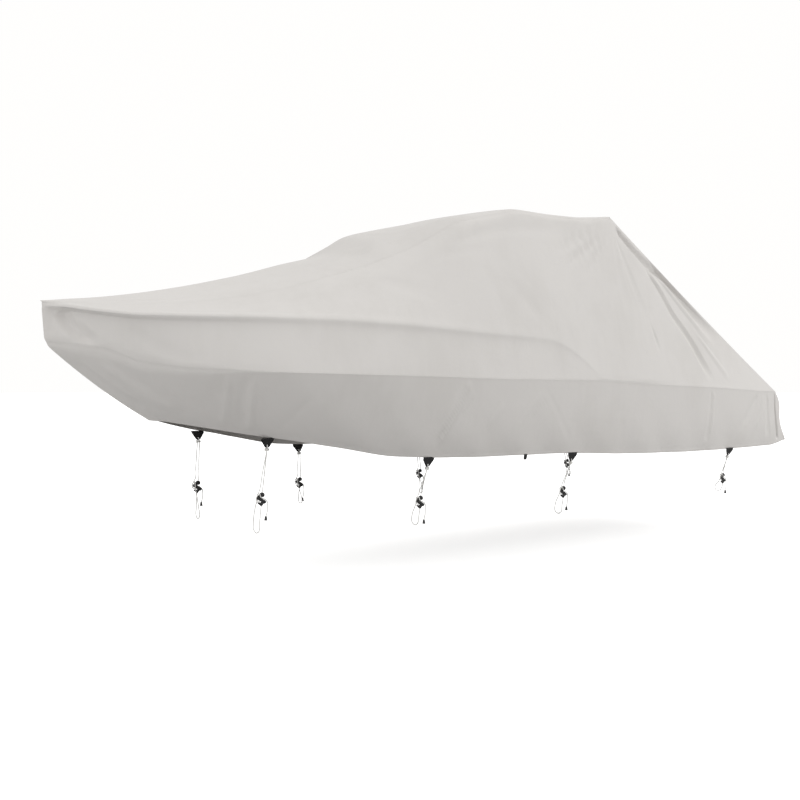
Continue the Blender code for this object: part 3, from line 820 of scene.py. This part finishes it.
def makeTab(at, tag):
    def toWorld(across, up, out):
        return place(at["onTab"](across, up, out), at["side"])

    thickness, drop, slot = tie["tabThickness"], tie["tabDrop"], tie["slot"]
    outline = tabOutline(tie["tabTop"], tie["tabTip"], drop)
    hole = [(slot * x, tie["slotAboveTip"] - drop + slot * y) for x, y in circle(tabLook["holeSteps"])]
    top, rootUp = tie["tabTop"] / 2, tie["tabRoot"]
    root = [(-top, 0.0001), (top, 0.0001), (top * 1.02, rootUp), (-top * 1.02, rootUp)]
    parts = [tabPlate(outline, hole, thickness, toWorld), tabPlate(root, None, thickness * 0.8, toWorld),
             tabBorder(outline, tabLook["border"], toWorld)]
    for out in (thickness * 0.45, -thickness * 0.45):
        parts.append(bead([(x, y, out) for x, y in hole], tabLook["eyelet"], toWorld, closed=True))
    middle = -drop * tabLook["middle"]
    for share in tabLook["stitchRows"]:
        inner = [(x * share, middle + (y - middle) * share) for x, y in outline]
        for first, second in zip(inner, inner[1:] + inner[:1]):
            for start in (0.05, 0.55):
                ends = blend(first, second, start), blend(first, second, start + tabLook["stitchLength"])
                parts.append(bead([(*end, thickness / 2) for end in ends], tabLook["stitch"], toWorld))
    return solidPiece("hemTab_" + tag, parts, "webbing", "black_webbing", "tab_" + tag)


def makeTies():
    made = {}
    for side in (port, starboard):
        for index, row in enumerate(ties, start=1):
            tag = sideWord[side] + "_" + str(index)
            at = tieLayout(row, side)
            hanging, down = makeCord("hangingCord_" + tag, hangingRoute(at), side, "hanging_cord_" + tag)
            running, looped = makeCord("runningCord_" + tag, runningRoute(at), side,
                                       "running_cord_" + tag)
            knotPoints = smoothRoute([place(p, side) for p in hitchRoute(at)], braid["knotStep"])
            knot = cordTube("hitchKnot_" + tag, knotPoints, tie["cord"] / 2)
            finishPiece(knot, "cord", "white_cord")
            made[tag] = makeTab(at, tag)
            makeRatchet(at, tag)
            stopper = makeStopper(tag, looped[-1])
            tuple(down[0])
            round(routeLength(down), 3)
            [tuple(p) for p in down]
            tuple(looped[0])
            round(routeLength(looped), 3)
            [tuple(p) for p in looped]
    return made


tabs = makeTies()
print("ties made:", len(tabs))


# cloth panels
def crowded(pieces):        # shares from short runs of (start, end, steps), ends joined
    made = []
    for start, end, steps in pieces:
        made += list(np.linspace(start, end, steps, endpoint=False))
    return np.array(made + [pieces[-1][1]])


topPanel = {
    "tentPower": 1.3, "roofPower": 2.0, "tentEnd": 2.5, "roofStart": 3.0, "round": 0.04,
    "across": 84, "crowding": 0.9, "turns": 4, "swell": 0.004,
    # folds laid out in station and half-breadth (port is minus)
    "folds": (
        (((0.02, -0.005), (0.9, -0.02), (1.9, -0.03)), -0.004, (0.03, 0.10), (0.1, 0.5)),
        (((0.35, -0.12), (0.70, -0.29), (1.10, -0.40)), 0.005, (0.05, 0.09), (0.3, 0.4)),
        (((0.40, 0.14), (0.80, 0.30), (1.20, 0.42)), 0.005, (0.05, 0.09), (0.3, 0.4)),
        (((2.10, -0.52), (2.36, -0.34), (2.30, -0.08)), 0.010, (0.20, 0.34), (0.4, 0.35)),
        (((2.10, 0.52), (2.36, 0.34), (2.30, 0.08)), 0.034, (0.20, 0.36), (0.4, 0.3)),
        (((2.50, -0.05), (2.70, -0.40), (3.10, -0.62)), -0.006, (0.10, 0.16), (0.3, 0.4)),
        (((4.66, -0.74), (4.20, -0.46), (3.80, -0.30)), 0.007, (0.05, 0.22), (0.15, 0.6)),
        (((4.66, 0.74), (4.25, 0.40), (3.95, 0.22)), 0.007, (0.05, 0.22), (0.15, 0.6)),
        (((4.76, -0.76), (5.35, -0.58), (6.10, -0.52)), 0.020, (0.05, 0.24), (0.12, 0.5)),
        (((4.76, 0.76), (5.40, 0.60), (6.20, 0.50)), 0.022, (0.05, 0.24), (0.12, 0.5)),
        (((4.78, -0.70), (5.20, -0.34), (5.60, -0.10)), 0.015, (0.05, 0.20), (0.12, 0.5)),
        (((4.78, 0.70), (5.22, 0.30), (5.65, 0.06)), 0.013, (0.05, 0.20), (0.12, 0.5)),
        (((4.80, -0.20), (5.60, -0.16), (6.50, -0.24)), 0.010, (0.10, 0.26), (0.3, 0.4)),
        (((4.80, 0.28), (5.70, 0.26), (6.60, 0.40)), 0.010, (0.10, 0.26), (0.3, 0.4)))}

sidePanel = {
    "shoulder": 0.020, "cabinStart": 1.6, "cabinEnd": 2.2, "swell": 0.004,
    "rollUp": 0.022, "rollReach": 0.060,        # the roll's middle above the rail line, its half-width
    # the fold along the bow rail: station, how far the cloth falls in under it, height of its roll,
    # and the share of the drop to the gunwale in which it falls in
    "railFold": (
        (0.04, 0.034, 0.003, 0.045), (0.20, 0.050, 0.011, 0.050), (0.60, 0.040, 0.012, 0.075),
        (1.10, 0.034, 0.010, 0.095), (1.80, 0.025, 0.006, 0.100), (2.60, 0.020, 0.003, 0.100),
        (3.60, 0.013, 0.000, 0.110), (3.95, 0.008, 0.000, 0.130), (4.22, 0.000, 0.000, 0.150)),
    # folds laid out in station and height
    "folds": (
        # fan from the roof's aft corner
        (((4.76, 2.84), (4.94, 2.67), (5.15, 2.50), (5.34, 2.36)), 0.034, (0.05, 0.14), (0.10, 0.30)),
        (((5.08, 2.57), (5.36, 2.39), (5.59, 2.17), (6.02, 1.79)), 0.040, (0.10, 0.19), (0.20, 0.40)),
        (((5.06, 2.50), (5.20, 2.33), (5.34, 2.08), (5.52, 1.86), (5.77, 1.45)), 0.022, (0.06, 0.12), (0.12, 0.20)),
        (((5.10, 2.55), (5.26, 2.40), (5.46, 2.19), (5.88, 1.78)), -0.012, (0.05, 0.10), (0.15, 0.4)),
        (((5.60, 1.95), (5.85, 1.68), (6.05, 1.46)), -0.008, (0.05, 0.10), (0.3, 0.3)),
        (((4.98, 1.99), (5.03, 1.87), (5.05, 1.72)), 0.009, (0.035, 0.07), (0.4, 0.4)),
        (((4.73, 2.80), (4.84, 2.40), (4.98, 1.90)), 0.006, (0.04, 0.16), (0.2, 0.5)),
        (((4.72, 2.78), (4.70, 2.35), (4.76, 1.85)), 0.005, (0.05, 0.20), (0.2, 0.6)),
        # under the roof's edge and aft corner
        (((4.62, 2.80), (4.30, 2.60), (3.97, 2.41)), 0.020, (0.030, 0.08), (0.3, 0.4)),
        (((4.58, 2.84), (4.20, 2.67), (3.90, 2.55)), 0.018, (0.025, 0.07), (0.3, 0.4)),
        (((4.64, 2.74), (4.42, 2.55), (4.18, 2.30)), 0.013, (0.025, 0.07), (0.3, 0.5)),
        (((4.40, 2.78), (4.18, 2.70), (3.98, 2.64)), 0.010, (0.02, 0.05), (0.3, 0.4)),
        (((2.75, 2.50), (3.24, 2.67), (3.70, 2.74), (4.30, 2.76)), 0.010, (0.10, 0.16), (0.3, 0.4)),
        (((2.60, 2.40), (2.95, 2.50), (3.35, 2.56)), 0.005, (0.06, 0.12), (0.4, 0.5)),
        # below the windscreen and along the cabin
        (((2.10, 2.28), (2.35, 2.20), (2.70, 2.14)), 0.006, (0.12, 0.22), (0.4, 0.5)),
        (((3.30, 2.30), (3.55, 2.08), (3.70, 1.90)), 0.005, (0.12, 0.20), (0.4, 0.4)),
        # down the bow from the nose
        (((0.08, 1.98), (0.15, 1.86), (0.30, 1.68)), 0.036, (0.08, 0.15), (0.1, 0.4)),
        (((0.13, 1.94), (0.22, 1.80), (0.38, 1.66)), -0.010, (0.04, 0.09), (0.2, 0.3)),
        (((0.15, 1.92), (0.27, 1.72), (0.36, 1.60)), 0.008, (0.06, 0.10), (0.2, 0.2)),
        (((0.40, 1.86), (0.60, 1.72), (0.78, 1.60)), 0.005, (0.10, 0.16), (0.3, 0.2)))}

skirt = {
    "belly": 0.010, "tuck": 0.010, "stem": 0.028, "ripple": 0.006, "wave": 0.47, "swell": 0.003,
    "stemShare": 0.08, "hemWidth": 0.024, "hemRise": 0.0012,
    # folds laid out in station and height
    "folds": (
        (((2.82, 1.50), (2.73, 1.28), (2.62, 1.00)), -0.007, (0.058, 0.064), (0.1, 0.15)),
        (((2.86, 1.43), (2.81, 1.35), (2.75, 1.26)), -0.005, (0.054, 0.056), (0.2, 0.3)),
        (((2.79, 1.46), (2.69, 1.24), (2.58, 1.02)), 0.005, (0.030, 0.050), (0.1, 0.15)),
        (((3.18, 1.34), (3.12, 1.24), (3.04, 1.12)), -0.005, (0.054, 0.058), (0.2, 0.3)),
        (((5.72, 1.40), (5.715, 1.16), (5.70, 0.93)), 0.006, (0.04, 0.09), (0.1, 0.1)),
        (((5.76, 1.39), (5.755, 1.16), (5.74, 0.98)), -0.005, (0.050, 0.060), (0.1, 0.2)),
        (((0.98, 1.55), (1.05, 1.37), (1.14, 1.18)), -0.007, (0.050, 0.060), (0.1, 0.2)),
        (((1.14, 1.54), (1.20, 1.34), (1.31, 1.13)), -0.007, (0.050, 0.060), (0.1, 0.2)),
        (((1.08, 1.54), (1.14, 1.36), (1.24, 1.16)), 0.005, (0.06, 0.09), (0.1, 0.2)),
        (((1.25, 1.49), (1.22, 1.42), (1.20, 1.36)), -0.004, (0.03, 0.04), (0.3, 0.3)),
        (((3.55, 1.48), (3.75, 1.25), (3.98, 0.96)), 0.0015, (0.06, 0.10), (0.3, 0.2)),
        (((3.58, 1.42), (3.45, 1.27), (3.33, 1.10)), -0.004, (0.054, 0.060), (0.2, 0.3)),
        (((3.66, 1.38), (3.54, 1.25), (3.46, 1.14)), 0.004, (0.03, 0.05), (0.3, 0.3)),
        (((4.55, 1.46), (4.30, 1.20), (4.06, 0.96)), 0.0015, (0.06, 0.10), (0.3, 0.2)),
        (((1.62, 1.52), (1.50, 1.30), (1.44, 1.14)), 0.004, (0.05, 0.08), (0.3, 0.2)),
        (((6.46, 1.36), (6.34, 1.20), (6.16, 1.00)), 0.010, (0.08, 0.14), (0.2, 0.4)),
        (((6.60, 1.36), (6.62, 1.15), (6.66, 0.92)), 0.008, (0.05, 0.10), (0.15, 0.2)),
        (((6.54, 1.36), (6.50, 1.16), (6.40, 0.98)), -0.006, (0.05, 0.10), (0.2, 0.3)),
        (((6.73, 1.36), (6.76, 1.15), (6.84, 0.90)), 0.018, (0.020, 0.050), (0.1, 0.05)),
        (((0.20, 1.64), (0.50, 1.42), (0.80, 1.25)), 0.013, (0.05, 0.09), (0.15, 0.3)),
        (((0.32, 1.64), (0.58, 1.46), (0.90, 1.26)), -0.010, (0.05, 0.09), (0.15, 0.3)))}

sternDrop = {
    "across": 97, "swell": 0.004, "flare": 0.050, "swing": 0.050,
    # folds laid out in half-breadth (port is minus) and height
    "folds": (
        (((-0.62, 1.38), (-0.60, 1.10), (-0.66, 0.90)), 0.010, (0.06, 0.16), (0.2, 0.2)),
        (((-0.18, 1.38), (-0.24, 1.12), (-0.20, 0.90)), 0.009, (0.06, 0.16), (0.2, 0.2)),
        (((0.26, 1.38), (0.22, 1.12), (0.30, 0.90)), 0.011, (0.06, 0.18), (0.2, 0.2)),
        (((0.70, 1.38), (0.74, 1.12), (0.72, 0.90)), 0.009, (0.06, 0.14), (0.2, 0.2)),
        (((-0.95, 1.36), (-0.90, 1.15), (-0.98, 0.95)), -0.008, (0.05, 0.12), (0.2, 0.2)))}

stations = {"forward": 290, "aft": 190, "crowding": 1.3}
sectionSteps = {"top": 60, "panel": 40}
# the fan behind the roof's corner: how far its strip above the gunwale stands out, over which share
# of the fan, and how its start is evened out (turns, stations, columns)
fan = {"stand": 0.011, "standShare": 0.35, "turns": 30, "reach": 12.0, "columns": 8.0}


def seamFade(share, near, far):     # 0 on both seams of a panel, 1 away from them
    return smoothStep(share / near) * smoothStep((1 - share) / far)


# how far each section is rounded over the seam between top and side, and over the rail
ease = {"seam": ((0.00, 0.020), (0.40, 0.060), (0.90, 0.160), (1.50, 0.260), (2.30, 0.300),
                 (2.90, 0.200), (3.30, 0.090), (3.70, 0.060), (4.20, 0.070), (4.60, 0.050), (4.75, 0.020)),
        "rail": 0.036, "samples": np.linspace(-1, 1, 9), "fade": 2.2}
nose = {"narrow": 0.965, "back": 0.020, "reach": 0.14}        # how the front edges close in
# reach of the rounding over the gunwale: station, metres
bowRound = ((0.03, 0.060), (0.20, 0.130), (0.45, 0.150), (0.75, 0.070), (1.10, 0.014), (1.40, 0.000))
aftStart = lines["rail"][-1][0]
footStart = lines["gunwale"][0][0]


def closeNose(point, foot):
    near = max(1 - (foot - footStart) / nose["reach"], 0.0) ** 2
    return (point[0] + nose["back"] * near, point[1] * (1 - nose["narrow"] * near), point[2])


def topHalf(middle, outer, across):     # one half of a section of the top, at shares of its width
    onto = (middle[0] - topPanel["tentEnd"]) / (topPanel["roofStart"] - topPanel["tentEnd"])
    onto = min(max(onto, 0.0), 1.0)
    power = topPanel["tentPower"] + (topPanel["roofPower"] - topPanel["tentPower"]) * onto
    soft = topPanel["round"]
    bend = (np.sqrt(across ** 2 + soft ** 2) - soft) ** power
    bend = bend / (math.sqrt(1 + soft ** 2) - soft) ** power
    return np.stack([middle[0] + (outer[0] - middle[0]) * bend, across * outer[1],
                     middle[2] + (outer[2] - middle[2]) * bend], axis=1)


def averagedSpan(reach, away):      # length over which a line is averaged, away from its corner
    return np.maximum(reach * (1 - np.abs(away) / (ease["fade"] * reach)), 0.0)


def gunwaleRounding(foot, runs):        # what averaging along the line adds near its corner
    reach = onTable(bowRound, foot, 1)
    total = np.zeros((len(runs), 3))
    if reach <= 0.0:
        return total
    high, low = seamPoints(foot)
    rail = np.array(closeNose(alongLine("rail", (foot - footStart) / (aftStart - footStart)), foot))
    up, down = (rail - high) / np.linalg.norm(rail - high), (low - high) / np.linalg.norm(low - high)
    span = averagedSpan(reach, runs)
    for sample in ease["samples"]:
        at = runs + span * sample
        total += np.maximum(-at, 0.0)[:, None] * up + np.maximum(at, 0.0)[:, None] * down
    corner = np.maximum(-runs, 0.0)[:, None] * up + np.maximum(runs, 0.0)[:, None] * down
    return total / len(ease["samples"]) - corner


def seamPoints(foot):       # gunwale point at a station, and the hem point below it
    share = (foot - footStart) / (sternCorner[0] - footStart)
    return np.array(onLine(lines["gunwale"], foot)), np.array(alongLine("hem", share))


def lengthsOf(points):
    return np.concatenate([[0.0], np.cumsum(np.linalg.norm(np.diff(points, axis=0), axis=1))])


def forwardSection(share):      # middle, seam, rail, gunwale as one line; runs are from the seam
    foot = footStart + (aftStart - footStart) * share
    edge = np.array(closeNose(alongLine("edge", share), foot))
    rail = np.array(closeNose(alongLine("rail", share), foot))
    half = topHalf(alongLine("ridge", share), edge, np.linspace(0, 1, sectionSteps["top"]))
    steps = np.linspace(0, 1, sectionSteps["panel"])[:, None]
    upper = edge + (rail - edge) * steps
    cabin = (foot - sidePanel["cabinStart"]) / (sidePanel["cabinEnd"] - sidePanel["cabinStart"])
    upper[:, 1] += sidePanel["shoulder"] * min(max(cabin, 0.0), 1.0) * np.sin(math.pi * steps[:, 0])
    lower = rail + (np.array(onLine(lines["gunwale"], foot)) - rail) * steps
    points = np.concatenate([half, upper[1:], lower[1:]])
    runs = lengthsOf(points) - lengthsOf(half)[-1]
    return {"foot": foot, "points": points, "runs": runs, "low": runs[-1], "high": runs[0],
            "rail": runs[sectionSteps["top"] + sectionSteps["panel"] - 2],
            "seam": onTable(ease["seam"], roofCorner[0] * share, 1)}


def onSection(section, runs):       # rounded over seam and rail by averaging along the line
    reach = np.maximum(averagedSpan(section["seam"], runs),
                       averagedSpan(ease["rail"], runs - section["rail"]))
    reach = np.minimum(reach, np.minimum(runs - section["high"], section["low"] - runs))
    made = np.zeros((len(runs), 3))
    for sample in ease["samples"]:
        at = runs + reach * sample
        made += np.stack([np.interp(at, section["runs"], axis) for axis in section["points"].T], axis=1)
    return made / len(ease["samples"])


def softened(grid, turns, column=0):        # evened out along the cover, from a column on
    soft = grid.copy()
    for turn in range(turns):
        soft[1:-1, column:] = (soft[:-2, column:] + soft[2:, column:] + 2 * soft[1:-1, column:]) / 4
    return soft


forwardShares = np.linspace(0, 1, stations["forward"]) ** stations["crowding"]
aftShares = np.linspace(0, 1, stations["aft"])[1:]
sections = [forwardSection(share) for share in forwardShares]
feet = np.array([section["foot"] for section in sections]
                + [aftStart + (sternCorner[0] - aftStart) * share for share in aftShares])
skirtFeet = np.interp(np.linspace(0, len(feet) - 1, 2 * len(feet) - 1), np.arange(len(feet)), feet)


def toModel(points, side):
    return np.stack([points[:, 0] - origin["station"], side * points[:, 1],
                     points[:, 2] - origin["height"]], axis=1)


def topGrid():
    across = np.linspace(0, 1, topPanel["across"] // 2 + 1) ** topPanel["crowding"]
    rows = []
    for section in sections:
        half = section["points"][:sectionSteps["top"], 1]
        runs = np.interp(across, half / max(half[-1], 1e-6), section["runs"][:sectionSteps["top"]])
        rows.append(onSection(section, np.minimum(runs, -cloth["seamGap"])))
        rows[-1][0, 1] = 0.0
    for share in aftShares:
        middle, outer = blend(lines["ridge"][-1], sternTop, share), onHip(share)
        middle = (middle[0], 0.0, middle[2] - hipSag(share))
        rows.append(topHalf(middle, outer, across))
        rows[-1][-1, 1] -= cloth["seamGap"]
    grid = np.array([np.concatenate([toModel(half, port)[:0:-1], toModel(half, starboard)])
                     for half in rows])
    across = np.concatenate([-across[:0:-1], across])
    keep = np.abs(across[None, :, None]) ** 6
    soft = softened(grid, topPanel["turns"])        # ease the roof's aft edge
    grid[1:] = (grid * keep + soft * (1 - keep))[1:]
    return grid, across


def finishCloth(name, grid, outwards, lift, node):      # outwards: 1 or -1, which way the grid faces
    grid = grid + gridNormals(grid, outwards) * lift[..., None]
    piece = clothPiece(name, grid, gridNormals(grid, outwards), outwards > 0)
    return finishPiece(piece, "cloth", "cover_cloth", node)


def stationOf(grid):
    return grid[..., 0] + origin["station"]


def heightOf(grid):
    return grid[..., 2] + origin["height"]


def makeTop():
    grid, across = topGrid()
    lift = foldHeights(stationOf(grid), grid[..., 1], topPanel["folds"])
    lift += unevenness(grid, 0.55, topPanel["swell"], 3.0)
    lift *= seamFade((across[None, :] + 1) / 2, 0.04, 0.04)
    return finishCloth("topPanel", grid, 1, lift, "top_panel")


def sideGrid(side):
    # every section runs seam, rail, gunwale; past the roof's corner they fan out from it
    upper = crowded([(0.0, 0.06, 4), (0.06, 0.80, 22), (0.80, 1.0, 14)])
    lower = crowded([(0.0, 0.35, 12), (0.35, 0.94, 12), (0.94, 1.0, 4)])[1:]
    grid, fromRail = [], []
    for section in sections:
        high, low = section["rail"], section["low"]
        runs = np.concatenate([upper * high, high + lower * (low - high)])
        points = onSection(section, runs) + gunwaleRounding(section["foot"], runs - low)
        grid.append(toModel(points, side))
        fromRail.append(runs - high)
    strip = lines["rail"][-1][2] - onLine(lines["gunwale"], aftStart)[2]
    for turn in aftShares:
        low = np.array(onLine(lines["gunwale"], aftStart + (sternCorner[0] - aftStart) * turn))
        top = np.array(onHip(hipShape["start"] * turn))
        above = low + (top - low) * strip / (top[2] - low[2])
        above[1] += fan["stand"] * max(1 - turn / fan["standShare"], 0.0) ** 2
        points = top + (above - top) * upper[:, None]
        points[:, 1] += sidePanel["shoulder"] * (1 - turn) * np.sin(math.pi * upper)
        points[:, 2] -= hipSag(upper) * turn
        points = np.concatenate([points, above + (low - above) * lower[:, None]])
        grid.append(toModel(points, side))
        runs = lengthsOf(points)
        fromRail.append(runs - runs[len(upper) - 1])
    grid = np.array(grid)
    near = np.exp(-((np.arange(len(grid)) - stations["forward"] + 1) / fan["reach"]) ** 2)[:, None, None]
    near = near * smoothStep((np.arange(grid.shape[1]) - 2) / fan["columns"])[None, :, None]
    return grid * (1 - near) + softened(grid, fan["turns"], 3) * near, np.array(fromRail)


def makeSide(side):
    grid, fromRail = sideGrid(side)
    other = 0.0 if side == port else 0.05       # the far side's folds lie a little differently
    lift = foldHeights(stationOf(grid) + other, heightOf(grid), sidePanel["folds"])
    lift += unevenness(grid, 0.50, sidePanel["swell"], 9.0 + side)
    depth, roll, quick = (np.array([[onTable(sidePanel["railFold"], foot, column)] for foot in feet])
                          for column in (1, 2, 3))
    high, low = fromRail[:, :1], fromRail[:, -1:]
    share = np.clip(fromRail / low, 0, 1)
    over = np.clip(np.abs(fromRail + sidePanel["rollUp"]) / sidePanel["rollReach"], 0, 1)
    lift *= smoothStep((low - fromRail) / 0.06)
    lift += roll * (1 - over ** 2) ** 2 - depth * (1 - np.exp(-share / quick)) * (1 - share) ** 1.4
    lift *= smoothStep((fromRail - high) / 0.05)
    lift *= (smoothStep((feet - feet[0]) / 0.06) * smoothStep((feet[-1] - feet) / 0.10))[:, None]
    return finishCloth("sidePanel_" + sideWord[side], grid, side, lift, "side_panel_" + sideWord[side])


def sternFlare(down, away, reach):      # the stern corner swings out, in and out again on its way down
    out = sternDrop["flare"] * down ** 2 + sternDrop["swing"] * np.sin(2 * math.pi * down) * (1 - down)
    return out * math.exp(-(away / reach) ** 2)


def skirtGrid(side):
    down = crowded([(0.0, 0.04, 3), (0.04, 0.92, 24), (0.92, 1.0, 8)])
    grid, runs = [], []
    for foot in skirtFeet:
        share = (foot - footStart) / (sternCorner[0] - footStart)
        high, low = seamPoints(foot)
        runs.append(down * np.linalg.norm(low - high))
        points = high + (low - high) * down[:, None] + gunwaleRounding(foot, runs[-1])
        points[:, 2] -= skirt["stem"] * max(1 - share / skirt["stemShare"], 0.0) * 4 * down * (1 - down)
        wave = math.sin(2 * math.pi * (low[0] / skirt["wave"] + 0.2 * side)) * min(share / 0.1, 1)
        points[:, 1] += skirt["ripple"] * wave * down ** 2
        points[:, 2] -= cloth["seamGap"] * (1 - down)
        points[:, 0] += sternFlare(down, sternCorner[0] - foot, 0.14)
        grid.append(toModel(points, side))
    return np.array(grid), np.array(runs), down


def makeSkirt(side):
    grid, runs, down = skirtGrid(side)
    other = 0.0 if side == port else 0.06
    lift = foldHeights(stationOf(grid) + other, heightOf(grid), skirt["folds"])
    lift += unevenness(grid, 0.40, skirt["swell"], 21.0 + side) * down[None, :]
    lift += skirt["belly"] * np.sin(math.pi * down ** 1.3)[None, :] - skirt["tuck"] * down[None, :] ** 6
    lift *= smoothStep(runs / 0.05)
    ends = smoothStep((skirtFeet - footStart) / 0.10)
    ends *= smoothStep((skirtFeet[-1] - skirtFeet + 0.01) / 0.04)
    lift *= ends[:, None]
    fromHem = runs[:, -1:] - runs       # the turned hem is double
    lift += skirt["hemRise"] * (1 - smoothStep((fromHem - skirt["hemWidth"]) / 0.006))
    return finishCloth("hemSkirt_" + sideWord[side], grid, side, lift, "skirt_" + sideWord[side])


def makeStern():
    across = np.linspace(-1, 1, sternDrop["across"])
    down = crowded([(0.0, 0.04, 3), (0.04, 0.92, 18), (0.92, 1.0, 8)])
    corner = lines["hem"][-1]
    grid = []
    for a in across:
        top = np.array(blend(sternTop, sternCorner, a * a))
        low = np.array(blend(sternHem, corner, a * a))
        top[1], low[1] = a * (sternCorner[1] - cloth["seamGap"]), a * (corner[1] - cloth["seamGap"])
        points = top + (low - top) * down[:, None]
        points[:, 0] += sternFlare(down, 1 - abs(a), 0.10)
        grid.append(toModel(points, starboard))
    grid = np.array(grid)
    lift = foldHeights(grid[..., 1], heightOf(grid), sternDrop["folds"])
    lift += unevenness(grid, 0.40, sternDrop["swell"], 33.0) * down[None, :]
    lift *= seamFade((across[:, None] + 1) / 2, 0.05, 0.05) * smoothStep(down / 0.08)[None, :]
    return finishCloth("sternDrop", grid, -1, lift, "stern_skirt")


top = makeTop()
sides = {side: makeSide(side) for side in (port, starboard)}
skirts = {side: makeSkirt(side) for side in (port, starboard)}
stern = makeStern()
print("cloth made")


# small loops between the second and third tie
smallTab = {"station": 3.50, "top": 0.034, "tip": 0.022, "drop": 0.024, "root": 0.020, "border": 0.0017,
            "rootThickness": 0.002, "rootHalf": 0.0175}


def makeSmallTab(side):
    onTab = tabFrame(smallTab["station"])

    def toWorld(across, up, out):
        return place(onTab(across, up, out), side)

    outline = tabOutline(smallTab["top"], smallTab["tip"], smallTab["drop"])
    half, wide, rootUp = smallTab["top"] / 2, smallTab["rootHalf"], smallTab["root"]
    root = [(-half, 0.0001), (half, 0.0001), (wide, rootUp), (-wide, rootUp)]
    parts = [tabPlate(outline, None, tie["tabThickness"], toWorld),
             tabPlate(root, None, smallTab["rootThickness"], toWorld),
             tabBorder(outline, smallTab["border"], toWorld)]
    return solidPiece("smallTab_" + sideWord[side], parts, "webbing", "black_webbing",
                      "small_tab_" + sideWord[side])


smallTabs = {side: makeSmallTab(side) for side in (port, starboard)}


# floor and light
studio = {"floorHeight": -2.90, "floorSeen": (0.93, 0.93, 0.93), "floorLit": (0.52, 0.52, 0.52),
          "zenith": 1.12, "horizon": 0.56, "floorGlow": 0.55,
          "floorReach": 70, "tint": (1.0, 0.995, 0.985)}
# place, what it points at, diameter and watts
lights = {"keyLight": ((9.5, -10.5, 4.5), (2.2, 0.0, -1.0), 6.0, 590.0),
          "fillLight": ((-10.5, -4.0, -1.4), (-3.0, 0.0, -1.1), 5.0, 160.0)}


def makeFloor():
    floor = addMesh("floor", [(studio["floorReach"] * x, studio["floorReach"] * y, studio["floorHeight"])
                              for x, y in circle(96)], [tuple(range(96))], smooth=False)
    made, tree, shader = newMaterial("paleFloor", 0.9, specular=0.1)[:3]
    seen = addNode(tree, "ShaderNodeLightPath").outputs["Is Camera Ray"]
    feed(tree, shader, {"Base Color": addMix(tree, seen, studio["floorLit"], studio["floorSeen"]),
                        "Emission Color": addMix(tree, seen, (0.0, 0.0, 0.0), (1.0, 1.0, 1.0)),
                        "Emission Strength": studio["floorGlow"]})
    floor.data.materials.append(made)


def makeWorld():
    world = bpy.data.worlds.new("softSky")
    bpy.context.scene.world = world
    world.use_nodes = True
    tree = world.node_tree
    where = addNode(tree, "ShaderNodeTexCoord").outputs["Generated"]
    split = addNode(tree, "ShaderNodeSeparateXYZ", {0: where})
    spread = addNode(tree, "ShaderNodeMapRange", {
        "Value": split.outputs["Z"], "From Min": 0.0, "From Max": 0.9, "To Min": studio["horizon"],
        "To Max": studio["zenith"]}, interpolation_type="SMOOTHSTEP")
    seen = addNode(tree, "ShaderNodeLightPath").outputs["Is Camera Ray"]
    strength = addNode(tree, "ShaderNodeMix", {0: seen, 2: spread.outputs[0], 3: 1.0}, data_type="FLOAT")
    feed(tree, tree.nodes["Background"], {"Color": studio["tint"], "Strength": strength.outputs[0]})


def makeLight(name, location, target, size, power):
    data = bpy.data.lights.new(name, "AREA")
    data.shape = "DISK"
    data.size = size
    data.energy = power
    made = bpy.data.objects.new(name, data)
    made.location = location
    made.rotation_euler = (Vector(target) - Vector(location)).to_track_quat("-Z", "Y").to_euler()
    bpy.context.collection.objects.link(made)


makeFloor()
makeWorld()
for name, row in lights.items():
    makeLight(name, *row)
bpy.context.scene.view_settings.view_transform = "Standard"
